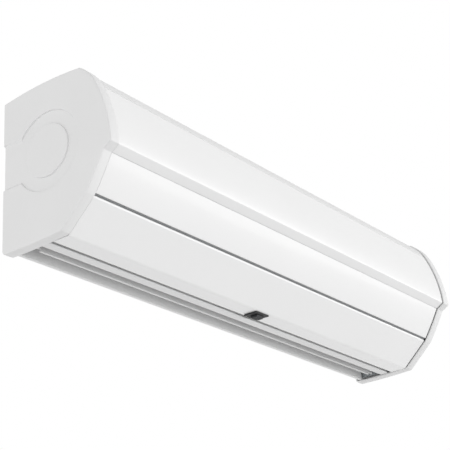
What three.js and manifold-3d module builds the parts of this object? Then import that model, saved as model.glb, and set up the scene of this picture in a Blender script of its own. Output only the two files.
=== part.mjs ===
// A wall-hung air curtain: two moulded end caps, a curved front cover over a stepped lower panel, a hinged
// service hatch with a slide latch, a full-length discharge slot with a tilting vane, and inside it a
// double-ended motor that turns two cross-flow rotors. Millimetres, +Z up, front towards -Y, +X to the right
// as seen from the front. Sections are points (y, z), with the wall at y = 0 and the body's underside at
// z = 0.

import * as THREE from "three";
import { mergeVertices } from "three/addons/utils/BufferGeometryUtils.js";
import Module from "manifold-3d";

const wasm = await Module();
wasm.setup();

// ---------------------------------------------------------------- driving dimensions

const length = 1000; // over both end caps
const depth = 221.5; // wall to the nose of the front cover
const height = 258.5; // body underside to the crest of the end caps

const capWidth = 19; // width of an end cap's rim along X
const capWall = 3;
const capEdgeRadius = 2.6; // rounding between a cap's face and its rim
const capDraft = 1.2; // how far the rim closes in from the face to the body
const panelInset = 2.5; // how far the long panels lie inside the caps' outline
const fit = 0.3; // gap between pieces that touch
const running = 0.4; // gap round a piece that turns in its seat

const stepLevel = 112; // height of the cover's nose
const stepReach = 15; // how far the step runs back under the nose
const stepDrop = 9;
const seamSetback = 49.5; // nose to the hatch seam, front to back
const seamLevel = 46;
const shoulderSetback = 31.5;
const shoulderDrop = 33; // crest to the start of the front arc
const crownSetback = 60.5;
const crownDrop = 3.7;
const backTopDrop = 7;
const topBulge = 5.3;
const shoulderBulge = 2.3;
const frontBulge = 6.6;
const lowerPanelBulge = 1;
const bottomBulge = 1;
const capSag = 3; // the caps' underside hangs this far below the body
const hatchCornerRadius = 8;

const wallGap = 10.3; // wall to the casing's back
const casingSheet = 1.5;
const casingFlange = 20; // how far the casing's top turns forward under the grille
const coverSheet = 2;
const panelSheet = 1.6;
const grilleThickness = 2.4;
const ductSheet = 1.2;
const plateThickness = 1.5; // end plates and partitions
const plateInset = 6.5; // end plates' edge inside the caps' outline
const coverSeam = 7.5; // along the outline, shoulder to the joint between grille and cover
const stepRailArm = 12;
const stepRailSheet = 3;
const topRailArm = 13;
const topRailSheet = 2;

const slotPitch = 9; // rows of the intake grille
const slotOpening = 5;
const slotColumns = 4;
const slotRib = 14; // solid web between two columns
const grilleMargin = 14;
const grilleRearBand = 24; // solid band behind the first row
const grilleFrontBand = 26; // solid band from the last row to the shoulder

const slotRear = 17; // wall to the discharge slot's rear side
const slotWidth = 43.5;
const railWidth = 21; // front rail, from slot to hatch
const railGap = 4; // the line between hatch and front rail
const railSheet = 1.8;
const railLip = 16;
const railFlange = 12;

const recessDepth = 3.2; // keyhole recess in the caps' faces
const recessRadius = 65;
const discRadius = 43;
const bandWidth = 76;
const capBossRadius = 4.5;
const capScrewRadius = 2;
const capScrewGrip = 10; // how far a screw reaches into its boss

const rotorRadius = 56;
const rotorDrop = 118.5; // crest of the end caps down to the rotors' axis
const bladeCount = 22;
const bladeThickness = 1.4;
const bladeDepth = 12;
const bladeLead = 13; // degrees by which a blade's rim runs ahead of its root
const rotorDisc = 2;
const rotorEndGap = 8; // rotor to partition
const rotorBossLength = 12;
const hubRadius = 14;
const hubGrip = 9; // hub inside the rotor's disc
const hubCollar = 5; // hub outside the disc
const scrollGapTop = 6;
const scrollGapRear = 20;
const scrollLip = 5; // radius of the rolled edge over the rotor
const tongueGap = 8;
const tongueRun = 4; // duct wall beyond the point nearest the rotor
const tongueFoldBack = 7;
const tongueFoldDrop = 3;
const webRise = 12; // rolled lip to the rear duct wall's strip on the casing
const webStrip = 8;
const shaftRadius = 5;
const stubShaftEnd = 6; // stub shaft beyond the end plate
const bearingRadius = 13;
const bearingInside = 4; // bearing to either side of the end plate
const bearingOutside = 3;
const bearingMountRadius = 19;
const mountFlange = 4;
const mountFlangeDepth = 2.7;
const mountEnd = 2;
const motorRadius = 47;
const motorLength = 104;
const motorBay = 125; // between the two partitions
const motorBevel = 7;
const motorNoseRadius = 13;
const motorNoseLength = 4;
const motorBand = 3; // thickness of the motor bracket's band and gussets
const motorBandWidth = 44;
const saddleFoot = 2.5; // thickness of the bracket's foot
const saddleFootLength = 58;
const saddleFootBeyond = 10; // foot beyond each gusset

const seamGap = 3.7; // lower panel's edge short of the seam's corner
const flangeLength = 11; // the lower panel's edge turned inward
const hingeBead = 3.5; // radius of the hatch's hinge bead
const hingePinRadius = 1.5;
const hingePinGrip = 12;
const hatchOpen = 5; // seam corner to the bead's middle, along the hatch
const hatchFloor = 36; // hatch's rear edge to its lower corner
const hatchLip = 11; // the hatch's rear edge turned up
const sealThickness = 2.2;
const sealRecess = 3;

const vaneHeight = 38;
const vaneThickness = 3.2;
const vaneLevel = 22; // height of the vane's pivot
const vaneRise = 1.5; // vane's lower edge above the body's underside
const vaneCentre = 41.5; // wall to the vane
const vaneEndLength = 15;
const vaneEndGap = 2;
const trunnionRadius = 3;
const trunnionBoss = 1.6; // wall round the trunnion's root
const trunnionEnd = 3; // trunnion beyond the end plate
const bushWall = 2.4;
const bushFlange = 2;
const bushFlangeDepth = 1.2;
const bushEnd = 2.5; // bush beyond the end plate

const latchWidth = 36;
const latchDepth = 27;
const latchX = -1;
const latchSetback = 3.6; // hatch's rear edge to the latch
const latchTravel = 6;
const latchPlate = 2.1;
const latchRim = 3; // plate's rear edge to the box in the hatch
const latchFrameWidth = 29;
const latchFrameWall = 2;
const latchFrameTop = 7;
const latchLid = 1.4;
const carriageDepth = 10;
const neckWidth = 11;
const neckSetIn = 1.5; // carriage's rear to the neck's
const thumbWidth = 18;
const thumbShift = 2.5; // thumb pad's middle to the right of the plate's
const thumbDepth = 16;
const thumbHeight = 3.6;
const thumbNoseSlope = 3;
const thumbHeelSlope = 4;
const thumbGrooves = 4;
const groovePitch = 2.2;
const grooveWidth = 0.9;
const grooveDepth = 0.6;
const grooveSetIn = 2; // from the pad's side
const boltWidth = 12;

const boxFrom = 232; // control box, along X
const boxTo = 402;
const boxWall = 1.6;
const boxSetUp = 14; // along the cut-off plate, from its lower edge to the box
const boxHeight = 48;
const boxFloorReach = 42; // floor and roof, front to back
const boxRoofReach = 22;
const boxRoofClear = 2; // least gap between the roof and the lower panel's flange
const terminalWays = 5;
const terminalPitch = 11;
const terminalDepth = 14;
const terminalHeight = 9;
const terminalSetIn = 20; // from the box's end
const terminalWell = 3; // radius of the screw wells
const capacitorRadius = 9;
const capacitorLength = 62;
const capacitorSetIn = 12;

const grommetRadius = 12;
const grommetBore = 6;
const grommetFlange = 2.5;
const grommetLip = 3; // thickness of the flanges inside and outside
const grommetSetback = 90; // from the cap's inner face
const grommetDrop = 62.5; // crest down to the grommet

const bracketLength = 520;
const bracketHeight = 56;
const bracketSheet = 2;
const bracketDrop = 27.5; // crest down to the bracket's bend
const hookReach = 4.5;
const hookRise = 13;
const bracketHole = 4;
const bracketHoleSpots = [-0.42, -0.2, 0.2, 0.42]; // as shares of the bracket's length
const hangerSheet = 1.4;
const hangerDrop = 26; // how far the hanger reaches down the casing's back
const hangerClear = 4; // hanger's rear edge over the bracket's bend
const hangerShort = 12; // hanger's end short of the bracket's

// ---------------------------------------------------------------- places worked out from them

const capOuter = length / 2;
const capInner = capOuter - capWidth;
const plateOuter = capInner - fit;
const plateInner = plateOuter - plateThickness;
const panelEnd = plateInner - fit;

const at = (y, z) => new THREE.Vector2(y, z);

const nose = at(-depth, stepLevel);
const heel = at(stepReach - depth, stepLevel - stepDrop);
const seam = at(seamSetback - depth, seamLevel);
const shoulder = at(shoulderSetback - depth, height - shoulderDrop);
const crown = at(crownSetback - depth, height - crownDrop);
const backTop = at(0, height - backTopDrop);
const slotFront = slotRear + slotWidth;
const railFront = slotFront + railWidth;
const hatchRear = railFront + railGap;
const hatchCorner = at(-(hatchRear + hatchFloor), 0);

const rotorAxis = at(-(slotRear + scrollGapRear + rotorRadius), height - rotorDrop);
const bracketTop = height - bracketDrop;
const grommetSpot = { x: capInner - grommetSetback, z: height - grommetDrop };
const hangLevel = bracketTop - bracketHeight / 2; // height of the wall bracket's middle, the part's origin

// ---------------------------------------------------------------- lines and sections

const onCircle = (centre, radius, angle) =>
  at(centre.x + radius * Math.cos(angle), centre.y + radius * Math.sin(angle));

const polar = (centre, radius, degrees) => onCircle(centre, radius, THREE.MathUtils.degToRad(degrees));

// Points of the circular arc from a up to, but without, b. A positive sag bows it to the right of the way.
function arc(a, b, sag, steps) {
  const chord = b.clone().sub(a);
  const half = chord.length() / 2;
  const radius = (half * half + sag * sag) / (2 * sag);
  const right = at(chord.y, -chord.x).normalize();
  const centre = a.clone().add(b).multiplyScalar(0.5).addScaledVector(right, sag - radius);
  const start = Math.atan2(a.y - centre.y, a.x - centre.x);
  const sweep = 2 * Math.asin(half / radius);
  const points = [];
  for (let i = 0; i < steps; i += 1) {
    points.push(onCircle(centre, Math.abs(radius), start + (sweep * i) / steps));
  }
  return points;
}

// Points of a circle about a centre, from one angle to another, both ends included.
function round(centre, radius, from, to, steps) {
  const points = [];
  for (let i = 0; i <= steps; i += 1) {
    points.push(polar(centre, radius, from + ((to - from) * i) / steps));
  }
  return points;
}

// A corner of a line rounded to a radius: the points that stand in for it.
function rounded(before, corner, after, radius, steps) {
  const back = before.clone().sub(corner).normalize();
  const on = after.clone().sub(corner).normalize();
  const half = Math.acos(THREE.MathUtils.clamp(back.dot(on), -1, 1)) / 2;
  const reach = radius / Math.tan(half);
  const from = corner.clone().addScaledVector(back, reach);
  const to = corner.clone().addScaledVector(on, reach);
  const turn = back.x * on.y - back.y * on.x;
  const sag = radius * (1 - Math.sin(half)) * (turn < 0 ? 1 : -1);
  return [...arc(from, to, sag, steps), to];
}

// The line moved to its left by a distance, with mitred corners.
function offset(line, distance, closed = false) {
  const count = line.length;
  return line.map((point, i) => {
    const last = closed ? line[(i + count - 1) % count] : line[Math.max(i - 1, 0)];
    const next = closed ? line[(i + 1) % count] : line[Math.min(i + 1, count - 1)];
    const into = point.clone().sub(last).normalize();
    const out = next.clone().sub(point).normalize();
    if (into.lengthSq() === 0) into.copy(out);
    if (out.lengthSq() === 0) out.copy(into);
    const normal = at(-into.y - out.y, into.x + out.x);
    const scale = distance / (normal.length() * 0.5 * normal.length());
    return point.clone().addScaledVector(normal, scale);
  });
}

// The stretch of a line between two distances along it.
function stretch(line, from, to) {
  const points = [];
  let run = 0;
  for (let i = 0; i + 1 < line.length; i += 1) {
    const step = line[i].distanceTo(line[i + 1]);
    if (run + step > from && run < to) {
      const first = Math.max(0, (from - run) / step);
      const last = Math.min(1, (to - run) / step);
      if (points.length === 0) points.push(line[i].clone().lerp(line[i + 1], first));
      points.push(line[i].clone().lerp(line[i + 1], last));
    }
    run += step;
  }
  return points;
}

const lengthOf = (line) => line.slice(1).reduce((sum, point, i) => sum + point.distanceTo(line[i]), 0);

const pointAlong = (line, run) => stretch(line, run, run + 1)[0];

// The point at which a line that runs forwards passes a distance from the wall.
function crossing(line, fromWall) {
  const i = line.findIndex((point) => point.x < -fromWall);
  const share = (-fromWall - line[i - 1].x) / (line[i].x - line[i - 1].x);
  return line[i - 1].clone().lerp(line[i], share);
}

// The section of a sheet that follows a line, from one distance to its left to another.
const sheet = (line, near, far) => [...offset(line, near), ...offset(line, far).reverse()];

// ---------------------------------------------------------------- solids

// The geometry of a section (y, z) carried along X.
function alongX(section, from, to) {
  const shape = new THREE.Shape(section);
  const geometry = new THREE.ExtrudeGeometry(shape, { depth: to - from, bevelEnabled: false });
  const turn = new THREE.Matrix4().makeBasis(
    new THREE.Vector3(0, 1, 0),
    new THREE.Vector3(0, 0, 1),
    new THREE.Vector3(1, 0, 0),
  );
  return geometry.applyMatrix4(turn).translate(from, 0, 0);
}

// A block given by its lowest and highest corners.
function block(low, high) {
  const size = high.map((value, i) => value - low[i]);
  const middle = high.map((value, i) => (value + low[i]) / 2);
  return new THREE.BoxGeometry(...size).translate(...middle);
}

// A round bar along X about a point (y, z) of the section.
function bar(radius, from, to, centre, sides) {
  const geometry = new THREE.CylinderGeometry(radius, radius, to - from, sides);
  return geometry.rotateZ(Math.PI / 2).translate((from + to) / 2, centre.x, centre.y);
}

// A round bar along Y about a point { x, z }.
function barAlongY(radius, from, to, { x, z }, sides) {
  return new THREE.CylinderGeometry(radius, radius, to - from, sides).translate(x, (from + to) / 2, z);
}

// A turned piece along X about a point (y, z). Its profile is a list of [radius, x] that goes up the bore and
// down the outside, and closes on itself.
function turned(profile, centre, sides) {
  const points = [...profile, profile[0]].reverse().map(([radius, x]) => at(radius, x));
  return new THREE.LatheGeometry(points, sides).rotateZ(-Math.PI / 2).translate(0, centre.x, centre.y);
}

// A closed skin over rings of equal length, ends filled: each ring is { x, points } with points as (y, z).
function loft(rings) {
  const count = rings[0].points.length;
  const positions = rings.flatMap(({ x, points }) => points.flatMap((p) => [x, p.x, p.y]));
  const index = [];
  for (let r = 0; r + 1 < rings.length; r += 1) {
    for (let i = 0; i < count; i += 1) {
      const a = r * count + i;
      const b = r * count + ((i + 1) % count);
      index.push(a, b, a + count, b, b + count, a + count);
    }
  }
  const first = THREE.ShapeUtils.triangulateShape(rings[0].points, []);
  const last = THREE.ShapeUtils.triangulateShape(rings.at(-1).points, []);
  const lastStart = (rings.length - 1) * count;
  first.forEach(([a, b, c]) => index.push(a, c, b));
  last.forEach(([a, b, c]) => index.push(lastStart + a, lastStart + b, lastStart + c));
  const geometry = new THREE.BufferGeometry();
  geometry.setAttribute("position", new THREE.Float32BufferAttribute(positions, 3));
  return geometry.setIndex(index);
}

// The same geometry on the other side of the middle plane x = 0.
function mirrored(geometry) {
  const copy = geometry.index ? geometry.toNonIndexed() : geometry.clone();
  copy.deleteAttribute("normal");
  copy.deleteAttribute("uv");
  const position = copy.getAttribute("position");
  const corner = [new THREE.Vector3(), new THREE.Vector3()];
  for (let i = 0; i < position.count; i += 3) {
    corner[0].fromBufferAttribute(position, i + 1);
    corner[1].fromBufferAttribute(position, i + 2);
    position.setXYZ(i + 1, ...corner[1].toArray());
    position.setXYZ(i + 2, ...corner[0].toArray());
  }
  for (let i = 0; i < position.count; i += 1) position.setX(i, -position.getX(i));
  return copy;
}

function toSolid(geometry) {
  const bare = geometry.clone();
  bare.deleteAttribute("normal");
  bare.deleteAttribute("uv");
  const merged = mergeVertices(bare, 1e-4);
  const mesh = new wasm.Mesh({
    numProp: 3,
    vertProperties: new Float32Array(merged.attributes.position.array),
    triVerts: new Uint32Array(merged.index.array),
  });
  return new wasm.Manifold(mesh);
}

function toGeometry(solid) {
  const mesh = solid.getMesh();
  const geometry = new THREE.BufferGeometry();
  geometry.setAttribute("position", new THREE.Float32BufferAttribute(mesh.vertProperties, 3));
  geometry.setIndex(new THREE.BufferAttribute(mesh.triVerts, 1));
  return geometry;
}

const asSolid = (shape) => (shape.isBufferGeometry ? toSolid(shape) : shape);

const joined = (...shapes) => shapes.map(asSolid).reduce((sum, shape) => sum.add(shape));

const cut = (body, ...tools) => tools.map(asSolid).reduce((rest, tool) => rest.subtract(tool), asSolid(body));

const common = (a, b) => asSolid(a).intersect(asSolid(b));

// ---------------------------------------------------------------- finishes

const finish = (color, roughness, metalness) =>
  new THREE.MeshStandardMaterial({ color, roughness, metalness });

const finishes = {
  mouldedWhite: () => finish(0xe4e5e6, 0.5, 0),
  glossWhite: () => finish(0xf4f5f6, 0.25, 0),
  paintedWhite: () => finish(0xe9eaeb, 0.4, 0.1),
  galvanised: () => finish(0xb4b8ba, 0.45, 0.85),
  aluminium: () => finish(0xc8cacc, 0.4, 0.9),
  steel: () => finish(0x8d9194, 0.35, 0.95),
  rubber: () => finish(0x2b2c2e, 0.85, 0),
  sealGrey: () => finish(0x6d7073, 0.8, 0),
  blackPlastic: () => finish(0x17181a, 0.45, 0),
  greyPlastic: () => finish(0x9a9da0, 0.55, 0),
};

const unit = new THREE.Group();
unit.position.z = -hangLevel;

function piece(name, shape, finishName) {
  const geometry = shape.isBufferGeometry ? shape : toGeometry(shape);
  const mesh = new THREE.Mesh(geometry, finishes[finishName]());
  mesh.name = name;
  unit.add(mesh);
}

// A piece at the right end, and its mirror image at the left end.
function pair(name, shape, finishName) {
  const geometry = shape.isBufferGeometry ? shape : toGeometry(shape);
  piece(name + "_right", geometry, finishName);
  piece(name + "_left", mirrored(geometry), finishName);
}

// ---------------------------------------------------------------- the outline of the end caps

// From the back's top over the crown, down the front to the nose.
const crownSteps = 8;
const shoulderSteps = 5;
const frontSteps = 7;
const overTop = [
  ...arc(backTop, crown, topBulge, crownSteps),
  ...arc(crown, shoulder, shoulderBulge, shoulderSteps),
  ...arc(shoulder, nose, frontBulge, frontSteps),
  nose,
];

const capBottomFront = hatchCorner.clone();
const capBottomBack = at(-8, -capSag);
const capBackFoot = at(0, 2.5);

const outline = [
  ...overTop,
  ...arc(heel, seam, lowerPanelBulge, 3),
  ...rounded(heel, seam, capBottomFront, 12, 2),
  ...rounded(seam, capBottomFront, capBottomBack, hatchCornerRadius, 3),
  ...arc(capBottomFront.clone().lerp(capBottomBack, 0.08), capBottomBack, bottomBulge, 3),
  ...arc(capBottomBack, capBackFoot, 2, 3),
  capBackFoot,
];

// ---------------------------------------------------------------- end caps

// The keyhole: a circle about the rotor's axis and a band from it to the cap's back edge.
function keyhole(radius, halfBand, from, to) {
  const opening = THREE.MathUtils.radToDeg(Math.asin(halfBand / radius));
  const circle = round(rotorAxis, radius, opening, 360 - opening, 26);
  const beyond = 20;
  const band = [at(beyond, rotorAxis.y - halfBand), at(beyond, rotorAxis.y + halfBand)];
  return alongX([...circle, ...band], from, to);
}

const capScrewSpots = [
  at(shoulder.x + 32, shoulder.y - 34),
  at(heel.x + 30, heel.y - 14),
  at(backTop.x - 50, backTop.y - 15),
];

function endCap() {
  const face = capOuter;
  const rings = [
    { x: face, points: offset(outline, capEdgeRadius, true) },
    { x: face - capEdgeRadius * 0.3, points: offset(outline, capEdgeRadius * 0.3, true) },
    { x: face - capEdgeRadius, points: outline },
    { x: capInner, points: offset(outline, capDraft, true) },
    { x: capInner, points: offset(outline, capWall, true) },
    { x: face - capWall, points: offset(outline, capWall, true) },
  ];
  const shell = mirrored(loft(rings.map(({ x, points }) => ({ x: -x, points }))));
  const floor = face - recessDepth - capWall;
  const insideCap = offset(outline, capWall - 0.5, true);
  const thickened = keyhole(recessRadius + capWall, bandWidth / 2 + capWall, floor, face - capWall + 0.5);
  const backing = common(thickened, alongX(insideCap, floor, face));
  const recess = keyhole(recessRadius, bandWidth / 2, face - recessDepth, face + 1);
  const disc = bar(discRadius, face - recessDepth - 1, face + 2, rotorAxis, 32);
  const bosses = capScrewSpots.map((spot) => bar(capBossRadius, capInner, face - capWall + 0.5, spot, 12));
  const pilotEnd = capInner + capScrewGrip + 1;
  const pilots = capScrewSpots.map((spot) => bar(capScrewRadius + fit, capInner - 1, pilotEnd, spot, 12));
  return cut(joined(shell, backing, ...bosses), cut(recess, disc), ...pilots);
}

// ---------------------------------------------------------------- lines of the long outer panels

const faceLine = offset(outline, panelInset, true);
const shoulderIndex = crownSteps + shoulderSteps;
const noseIndex = shoulderIndex + frontSteps;
const overTopFace = faceLine.slice(0, noseIndex + 1);
const shoulderRun = lengthOf(overTopFace.slice(0, shoulderIndex + 1));
const jointRun = shoulderRun + coverSeam;
const heelFace = faceLine[noseIndex + 1];
const underGrille = offset(overTopFace, grilleThickness + fit);

const lowerFace = [heelFace, ...offset([...arc(heel, seam, lowerPanelBulge, 3), seam], panelInset).slice(1)];
const lowerPanelLine = stretch(lowerFace, fit, lengthOf(lowerFace) - seamGap);
const lowerPanelEnd = lowerPanelLine.at(-1);
const seamDown = seam.clone().sub(heel).normalize();
const seamInward = at(-seamDown.y, seamDown.x);

// A point by the lower panel's flange: a distance inward along it, and a distance above it.
const byFlange = (inward, above) =>
  lowerPanelEnd.clone().addScaledVector(seamInward, inward).addScaledVector(seamDown, -above);

const hatchDown = hatchCorner.clone().sub(seam).normalize();
const hatchInward = at(-hatchDown.y, hatchDown.x);
const seamFace = seam.clone().addScaledVector(hatchInward, panelInset);
const hatchFaceStart = seamFace.clone().addScaledVector(hatchDown, hatchOpen);
const hatchFaceFoot = hatchFaceStart.clone().addScaledVector(hatchDown, -hatchFaceStart.y / hatchDown.y);
const hingeAxis = hatchFaceStart.clone().addScaledVector(hatchInward, hingeBead);

// ---------------------------------------------------------------- long outer panels

const acrossBody = (section) => alongX(section, -panelEnd, panelEnd);

// The back sheet: a narrow foot under it, and a flange at the top that carries the grille.
function rearCasing() {
  const footEnd = at(-(slotRear - ductSheet - running), 0);
  const corner = crossing(underGrille, wallGap);
  const flangeEnd = crossing(underGrille, wallGap + casingFlange);
  const between = underGrille.filter((point) => point.x < corner.x && point.x > flangeEnd.x);
  const line = [footEnd, at(-wallGap, 0), corner, ...between, flangeEnd];
  const entry = barAlongY(grommetRadius, -wallGap - casingSheet - 1, -wallGap + 1, grommetSpot, 20);
  return cut(acrossBody(sheet(line, 0, casingSheet)), entry);
}

// The intake grille: a curved panel from the casing's back to the front cover, cut by rows of long slots.
function intakeGrille() {
  const back = crossing(overTopFace, wallGap);
  const beyondBack = overTopFace.filter((point) => point.x < back.x);
  const line = stretch([back, ...beyondBack], 0, jointRun - fit - back.distanceTo(overTopFace[0]));
  const columnLength = (2 * (panelEnd - grilleMargin) - (slotColumns - 1) * slotRib) / slotColumns;
  const slotReach = 4 * grilleThickness;
  const slots = [];
  for (let run = wallGap + grilleRearBand; run < shoulderRun - grilleFrontBand; run += slotPitch) {
    const spot = pointAlong(overTopFace, run);
    for (let column = 0; column < slotColumns; column += 1) {
      const from = -panelEnd + grilleMargin + column * (columnLength + slotRib);
      const low = [from, spot.x - slotOpening / 2, spot.y - slotReach];
      const high = [from + columnLength, spot.x + slotOpening / 2, spot.y + slotReach];
      slots.push(block(low, high));
    }
  }
  return cut(acrossBody(sheet(line, 0, grilleThickness)), ...slots);
}

// The front cover: from the joint over the shoulder to the nose, and back under it to the heel.
function frontCover() {
  const line = [...stretch(overTopFace, jointRun, lengthOf(overTopFace)), heelFace];
  return acrossBody(sheet(stretch(line, 0, lengthOf(line) - fit), 0, coverSheet));
}

const lowerPanel = () => acrossBody(sheet([...lowerPanelLine, byFlange(flangeLength, 0)], 0, panelSheet));

// An angle inside the step, where the front cover meets the lower panel.
function stepRail() {
  const noseFace = overTopFace.at(-1);
  const start = heelFace.clone().lerp(noseFace, stepRailArm / heelFace.distanceTo(noseFace));
  const end = pointAlong(lowerFace, stepRailArm);
  const near = coverSheet + fit;
  return acrossBody(sheet([start, heelFace, end], near, near + stepRailSheet));
}

// A strip inside the joint between the grille and the front cover.
function topRail() {
  const line = stretch(overTopFace, jointRun - topRailArm, jointRun + topRailArm);
  const near = grilleThickness + fit;
  return acrossBody(sheet(line, near, near + topRailSheet));
}

// ---------------------------------------------------------------- service hatch

// The hatch: a bead in the seam, a flat flap down to the rounded corner, and back to an edge turned up at the
// front rail.
function hatchPanel() {
  const rear = at(-hatchRear, 0);
  const corner = rounded(hatchFaceStart, hatchFaceFoot, rear, hatchCornerRadius, 4);
  const line = [hatchFaceStart, ...corner, rear, at(-hatchRear, hatchLip)];
  const bead = bar(hingeBead, -panelEnd, panelEnd, hingeAxis, 20);
  const pinHole = bar(hingePinRadius + fit, panelEnd - hingePinGrip - 1, panelEnd + 1, hingeAxis, 12);
  const flap = joined(acrossBody(sheet(line, 0, coverSheet)), bead);
  return cut(flap, pinHole, mirrored(pinHole), latchOpening(), boltNotch());
}

// A strip under the lower panel's flange that closes the seam above the hatch's bead.
function hatchSeal() {
  const line = [byFlange(sealRecess, -fit), byFlange(flangeLength - fit, -fit)];
  return acrossBody(sheet(line, -sealThickness, 0));
}

function hingePin() {
  const shank = bar(hingePinRadius, panelEnd - hingePinGrip, plateOuter + 1, hingeAxis, 12);
  const head = bar(hingePinRadius + 1, plateOuter + fit, plateOuter + fit + 2, hingeAxis, 16);
  return joined(shank, head);
}

// ---------------------------------------------------------------- hatch latch

const latchRear = -(hatchRear + latchSetback);
const frameRear = latchRear - latchRim;
const carriageRear = frameRear - running;
const carriageFront = carriageRear - carriageDepth;
const wellFront = carriageFront - latchTravel - running;
const frameFront = wellFront - latchFrameWall;
const carriageTop = latchFrameTop - latchLid - running;
const carriageWidth = latchFrameWidth - 2 * latchFrameWall - 2 * running;

// A block about the latch's middle plane, by its width, its front and rear, and its bottom and top.
const latchBlock = (width, front, rear, bottom, top) =>
  block([latchX - width / 2, front, bottom], [latchX + width / 2, rear, top]);

const latchOpening = () =>
  latchBlock(latchFrameWidth + 2 * fit, frameFront - fit, frameRear + fit, -1, coverSheet + 1);

function boltNotch() {
  const [front, rear] = [-hatchRear - coverSheet - 1, -hatchRear + 1];
  return latchBlock(boltWidth + 2 * fit, front, rear, coverSheet + fit / 3, carriageTop + 1);
}

// The latch's body: a plate under the hatch and a box through it, open at the rear for the bolt.
function latchBase() {
  const plateTop = -fit;
  const plateBottom = plateTop - latchPlate;
  const wellWidth = latchFrameWidth - 2 * latchFrameWall;
  const plate = latchBlock(latchWidth, latchRear - latchDepth, latchRear, plateBottom, plateTop);
  const box = latchBlock(latchFrameWidth, frameFront, frameRear, plateBottom, latchFrameTop);
  const well = latchBlock(wellWidth, wellFront, frameRear + 1, plateTop, carriageTop + running);
  const neckRear = carriageRear - neckSetIn + running;
  const neckSlot = latchBlock(neckWidth + 2 * fit, wellFront, neckRear, plateBottom - 1, plateTop + 1);
  return cut(joined(plate, box), well, neckSlot);
}

// The slider: a carriage in the box, its bolt over the hatch's rear edge, and a grooved thumb pad under the
// plate.
function latchSlider() {
  const top = -fit - latchPlate - fit;
  const bottom = top - thumbHeight;
  const neckRear = carriageRear - neckSetIn;
  const boltEnd = -railFront - 2 * fit;
  const carriage = latchBlock(carriageWidth, carriageFront, carriageRear, 0, carriageTop);
  const bolt = latchBlock(boltWidth, carriageRear - 1, boltEnd, coverSheet + running, carriageTop);
  const neck = latchBlock(neckWidth, carriageFront, neckRear, top - 1, 1);
  const front = neckRear - thumbDepth;
  const section = [
    at(front, top),
    at(front + thumbNoseSlope, bottom),
    at(neckRear - thumbHeelSlope, bottom),
    at(neckRear, top - 1),
    at(neckRear, top),
  ];
  const [left, right] = [latchX + thumbShift - thumbWidth / 2, latchX + thumbShift + thumbWidth / 2];
  const thumb = alongX(section, left, right);
  const grooves = Array.from({ length: thumbGrooves }, (_, i) => {
    const from = front + thumbNoseSlope + grooveWidth + groovePitch * i;
    const to = from + grooveWidth;
    return block([left + grooveSetIn, from, bottom - 1], [right - grooveSetIn, to, bottom + grooveDepth]);
  });
  return cut(joined(carriage, bolt, neck, thumb), ...grooves);
}

// ---------------------------------------------------------------- discharge duct

const railLipEnd = at(-slotFront - railLip * 0.25, railLip);

function frontRail() {
  const line = [at(-railFront, railFlange), at(-railFront, 0), at(-slotFront, 0), railLipEnd];
  return acrossBody(sheet(line, 0, railSheet));
}

// The front duct wall runs straight from the rail's lip to where it touches a circle just outside the rotor.
const tongueReach = rotorRadius + tongueGap;
const ductStart = railLipEnd.clone().add(at(0, 1));
const toRotor = rotorAxis.clone().sub(ductStart);
const ductAngle = Math.atan2(toRotor.y, toRotor.x) + Math.asin(tongueReach / toRotor.length());
const ductAlong = at(Math.cos(ductAngle), Math.sin(ductAngle));
const touchRun = Math.sqrt(toRotor.lengthSq() - tongueReach ** 2);
const tongueTip = ductStart.clone().addScaledVector(ductAlong, touchRun + tongueRun);

// The cut-off plate: front duct wall, the tongue folded over at its top, and a foot on the lower panel's
// flange.
function cutoffPlate() {
  const fold = tongueTip.clone().add(at(-tongueFoldBack, -tongueFoldDrop));
  const footTop = panelSheet + fit + ductSheet;
  const foot = [byFlange(flangeLength - 2, footTop), byFlange(panelSheet + 2, footTop)];
  return acrossBody(sheet([ductStart, tongueTip, fold, ...foot], 0, ductSheet));
}

// The air side of the rear duct wall: straight up, then a spiral round the rotor that closes in to the top.
function scrollAirSide() {
  const steps = 12;
  const lastAngle = 86;
  const line = [at(-slotRear, 0)];
  for (let i = 0; i <= steps; i += 1) {
    const gap = THREE.MathUtils.lerp(scrollGapRear, scrollGapTop, i / steps);
    line.push(polar(rotorAxis, rotorRadius + gap, (lastAngle * i) / steps));
  }
  return line;
}

// The rear duct wall: its air side, a rolled lip over the rotor, and a web back to the casing.
function scrollWall() {
  const airSide = scrollAirSide();
  const top = airSide.at(-1);
  const lip = round(at(top.x, top.y + scrollLip), scrollLip, 262, 96, 5);
  const atCasing = -(wallGap + casingSheet + fit + ductSheet);
  const webTop = top.y + 2 * scrollLip + webRise;
  const web = [at(atCasing, webTop), at(atCasing, webTop + webStrip)];
  return acrossBody(sheet([...airSide, ...lip, ...web], -ductSheet, 0));
}

// ---------------------------------------------------------------- vane

const vaneBladeEnd = plateInner - vaneEndLength - vaneEndGap;
const vaneAxis = at(-vaneCentre, vaneLevel);

// An upright section rounded at both edges and slimmer at the top.
function uprightSection(bottom, top, thickness) {
  const low = at(vaneAxis.x, bottom + thickness / 2);
  const high = at(vaneAxis.x, top - thickness / 3);
  return [...round(low, thickness / 2, 180, 360, 6), ...round(high, thickness / 3, 0, 180, 6)];
}

const vaneBlade = () =>
  alongX(uprightSection(vaneRise, vaneRise + vaneHeight, vaneThickness), -vaneBladeEnd, vaneBladeEnd);

// The vane's end: a short tab in line with the blade, with the trunnion that turns in the bush.
function vaneEnd() {
  const from = vaneBladeEnd + fit;
  const to = plateInner - vaneEndGap;
  const tabHalf = 0.75 * vaneLevel;
  const tab = alongX(uprightSection(vaneLevel - tabHalf, vaneLevel + tabHalf, vaneThickness), from, to);
  const boss = bar(trunnionRadius + trunnionBoss, from, to, vaneAxis, 16);
  const trunnion = bar(trunnionRadius, to - 1, plateOuter + trunnionEnd, vaneAxis, 16);
  return joined(tab, boss, trunnion);
}

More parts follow.
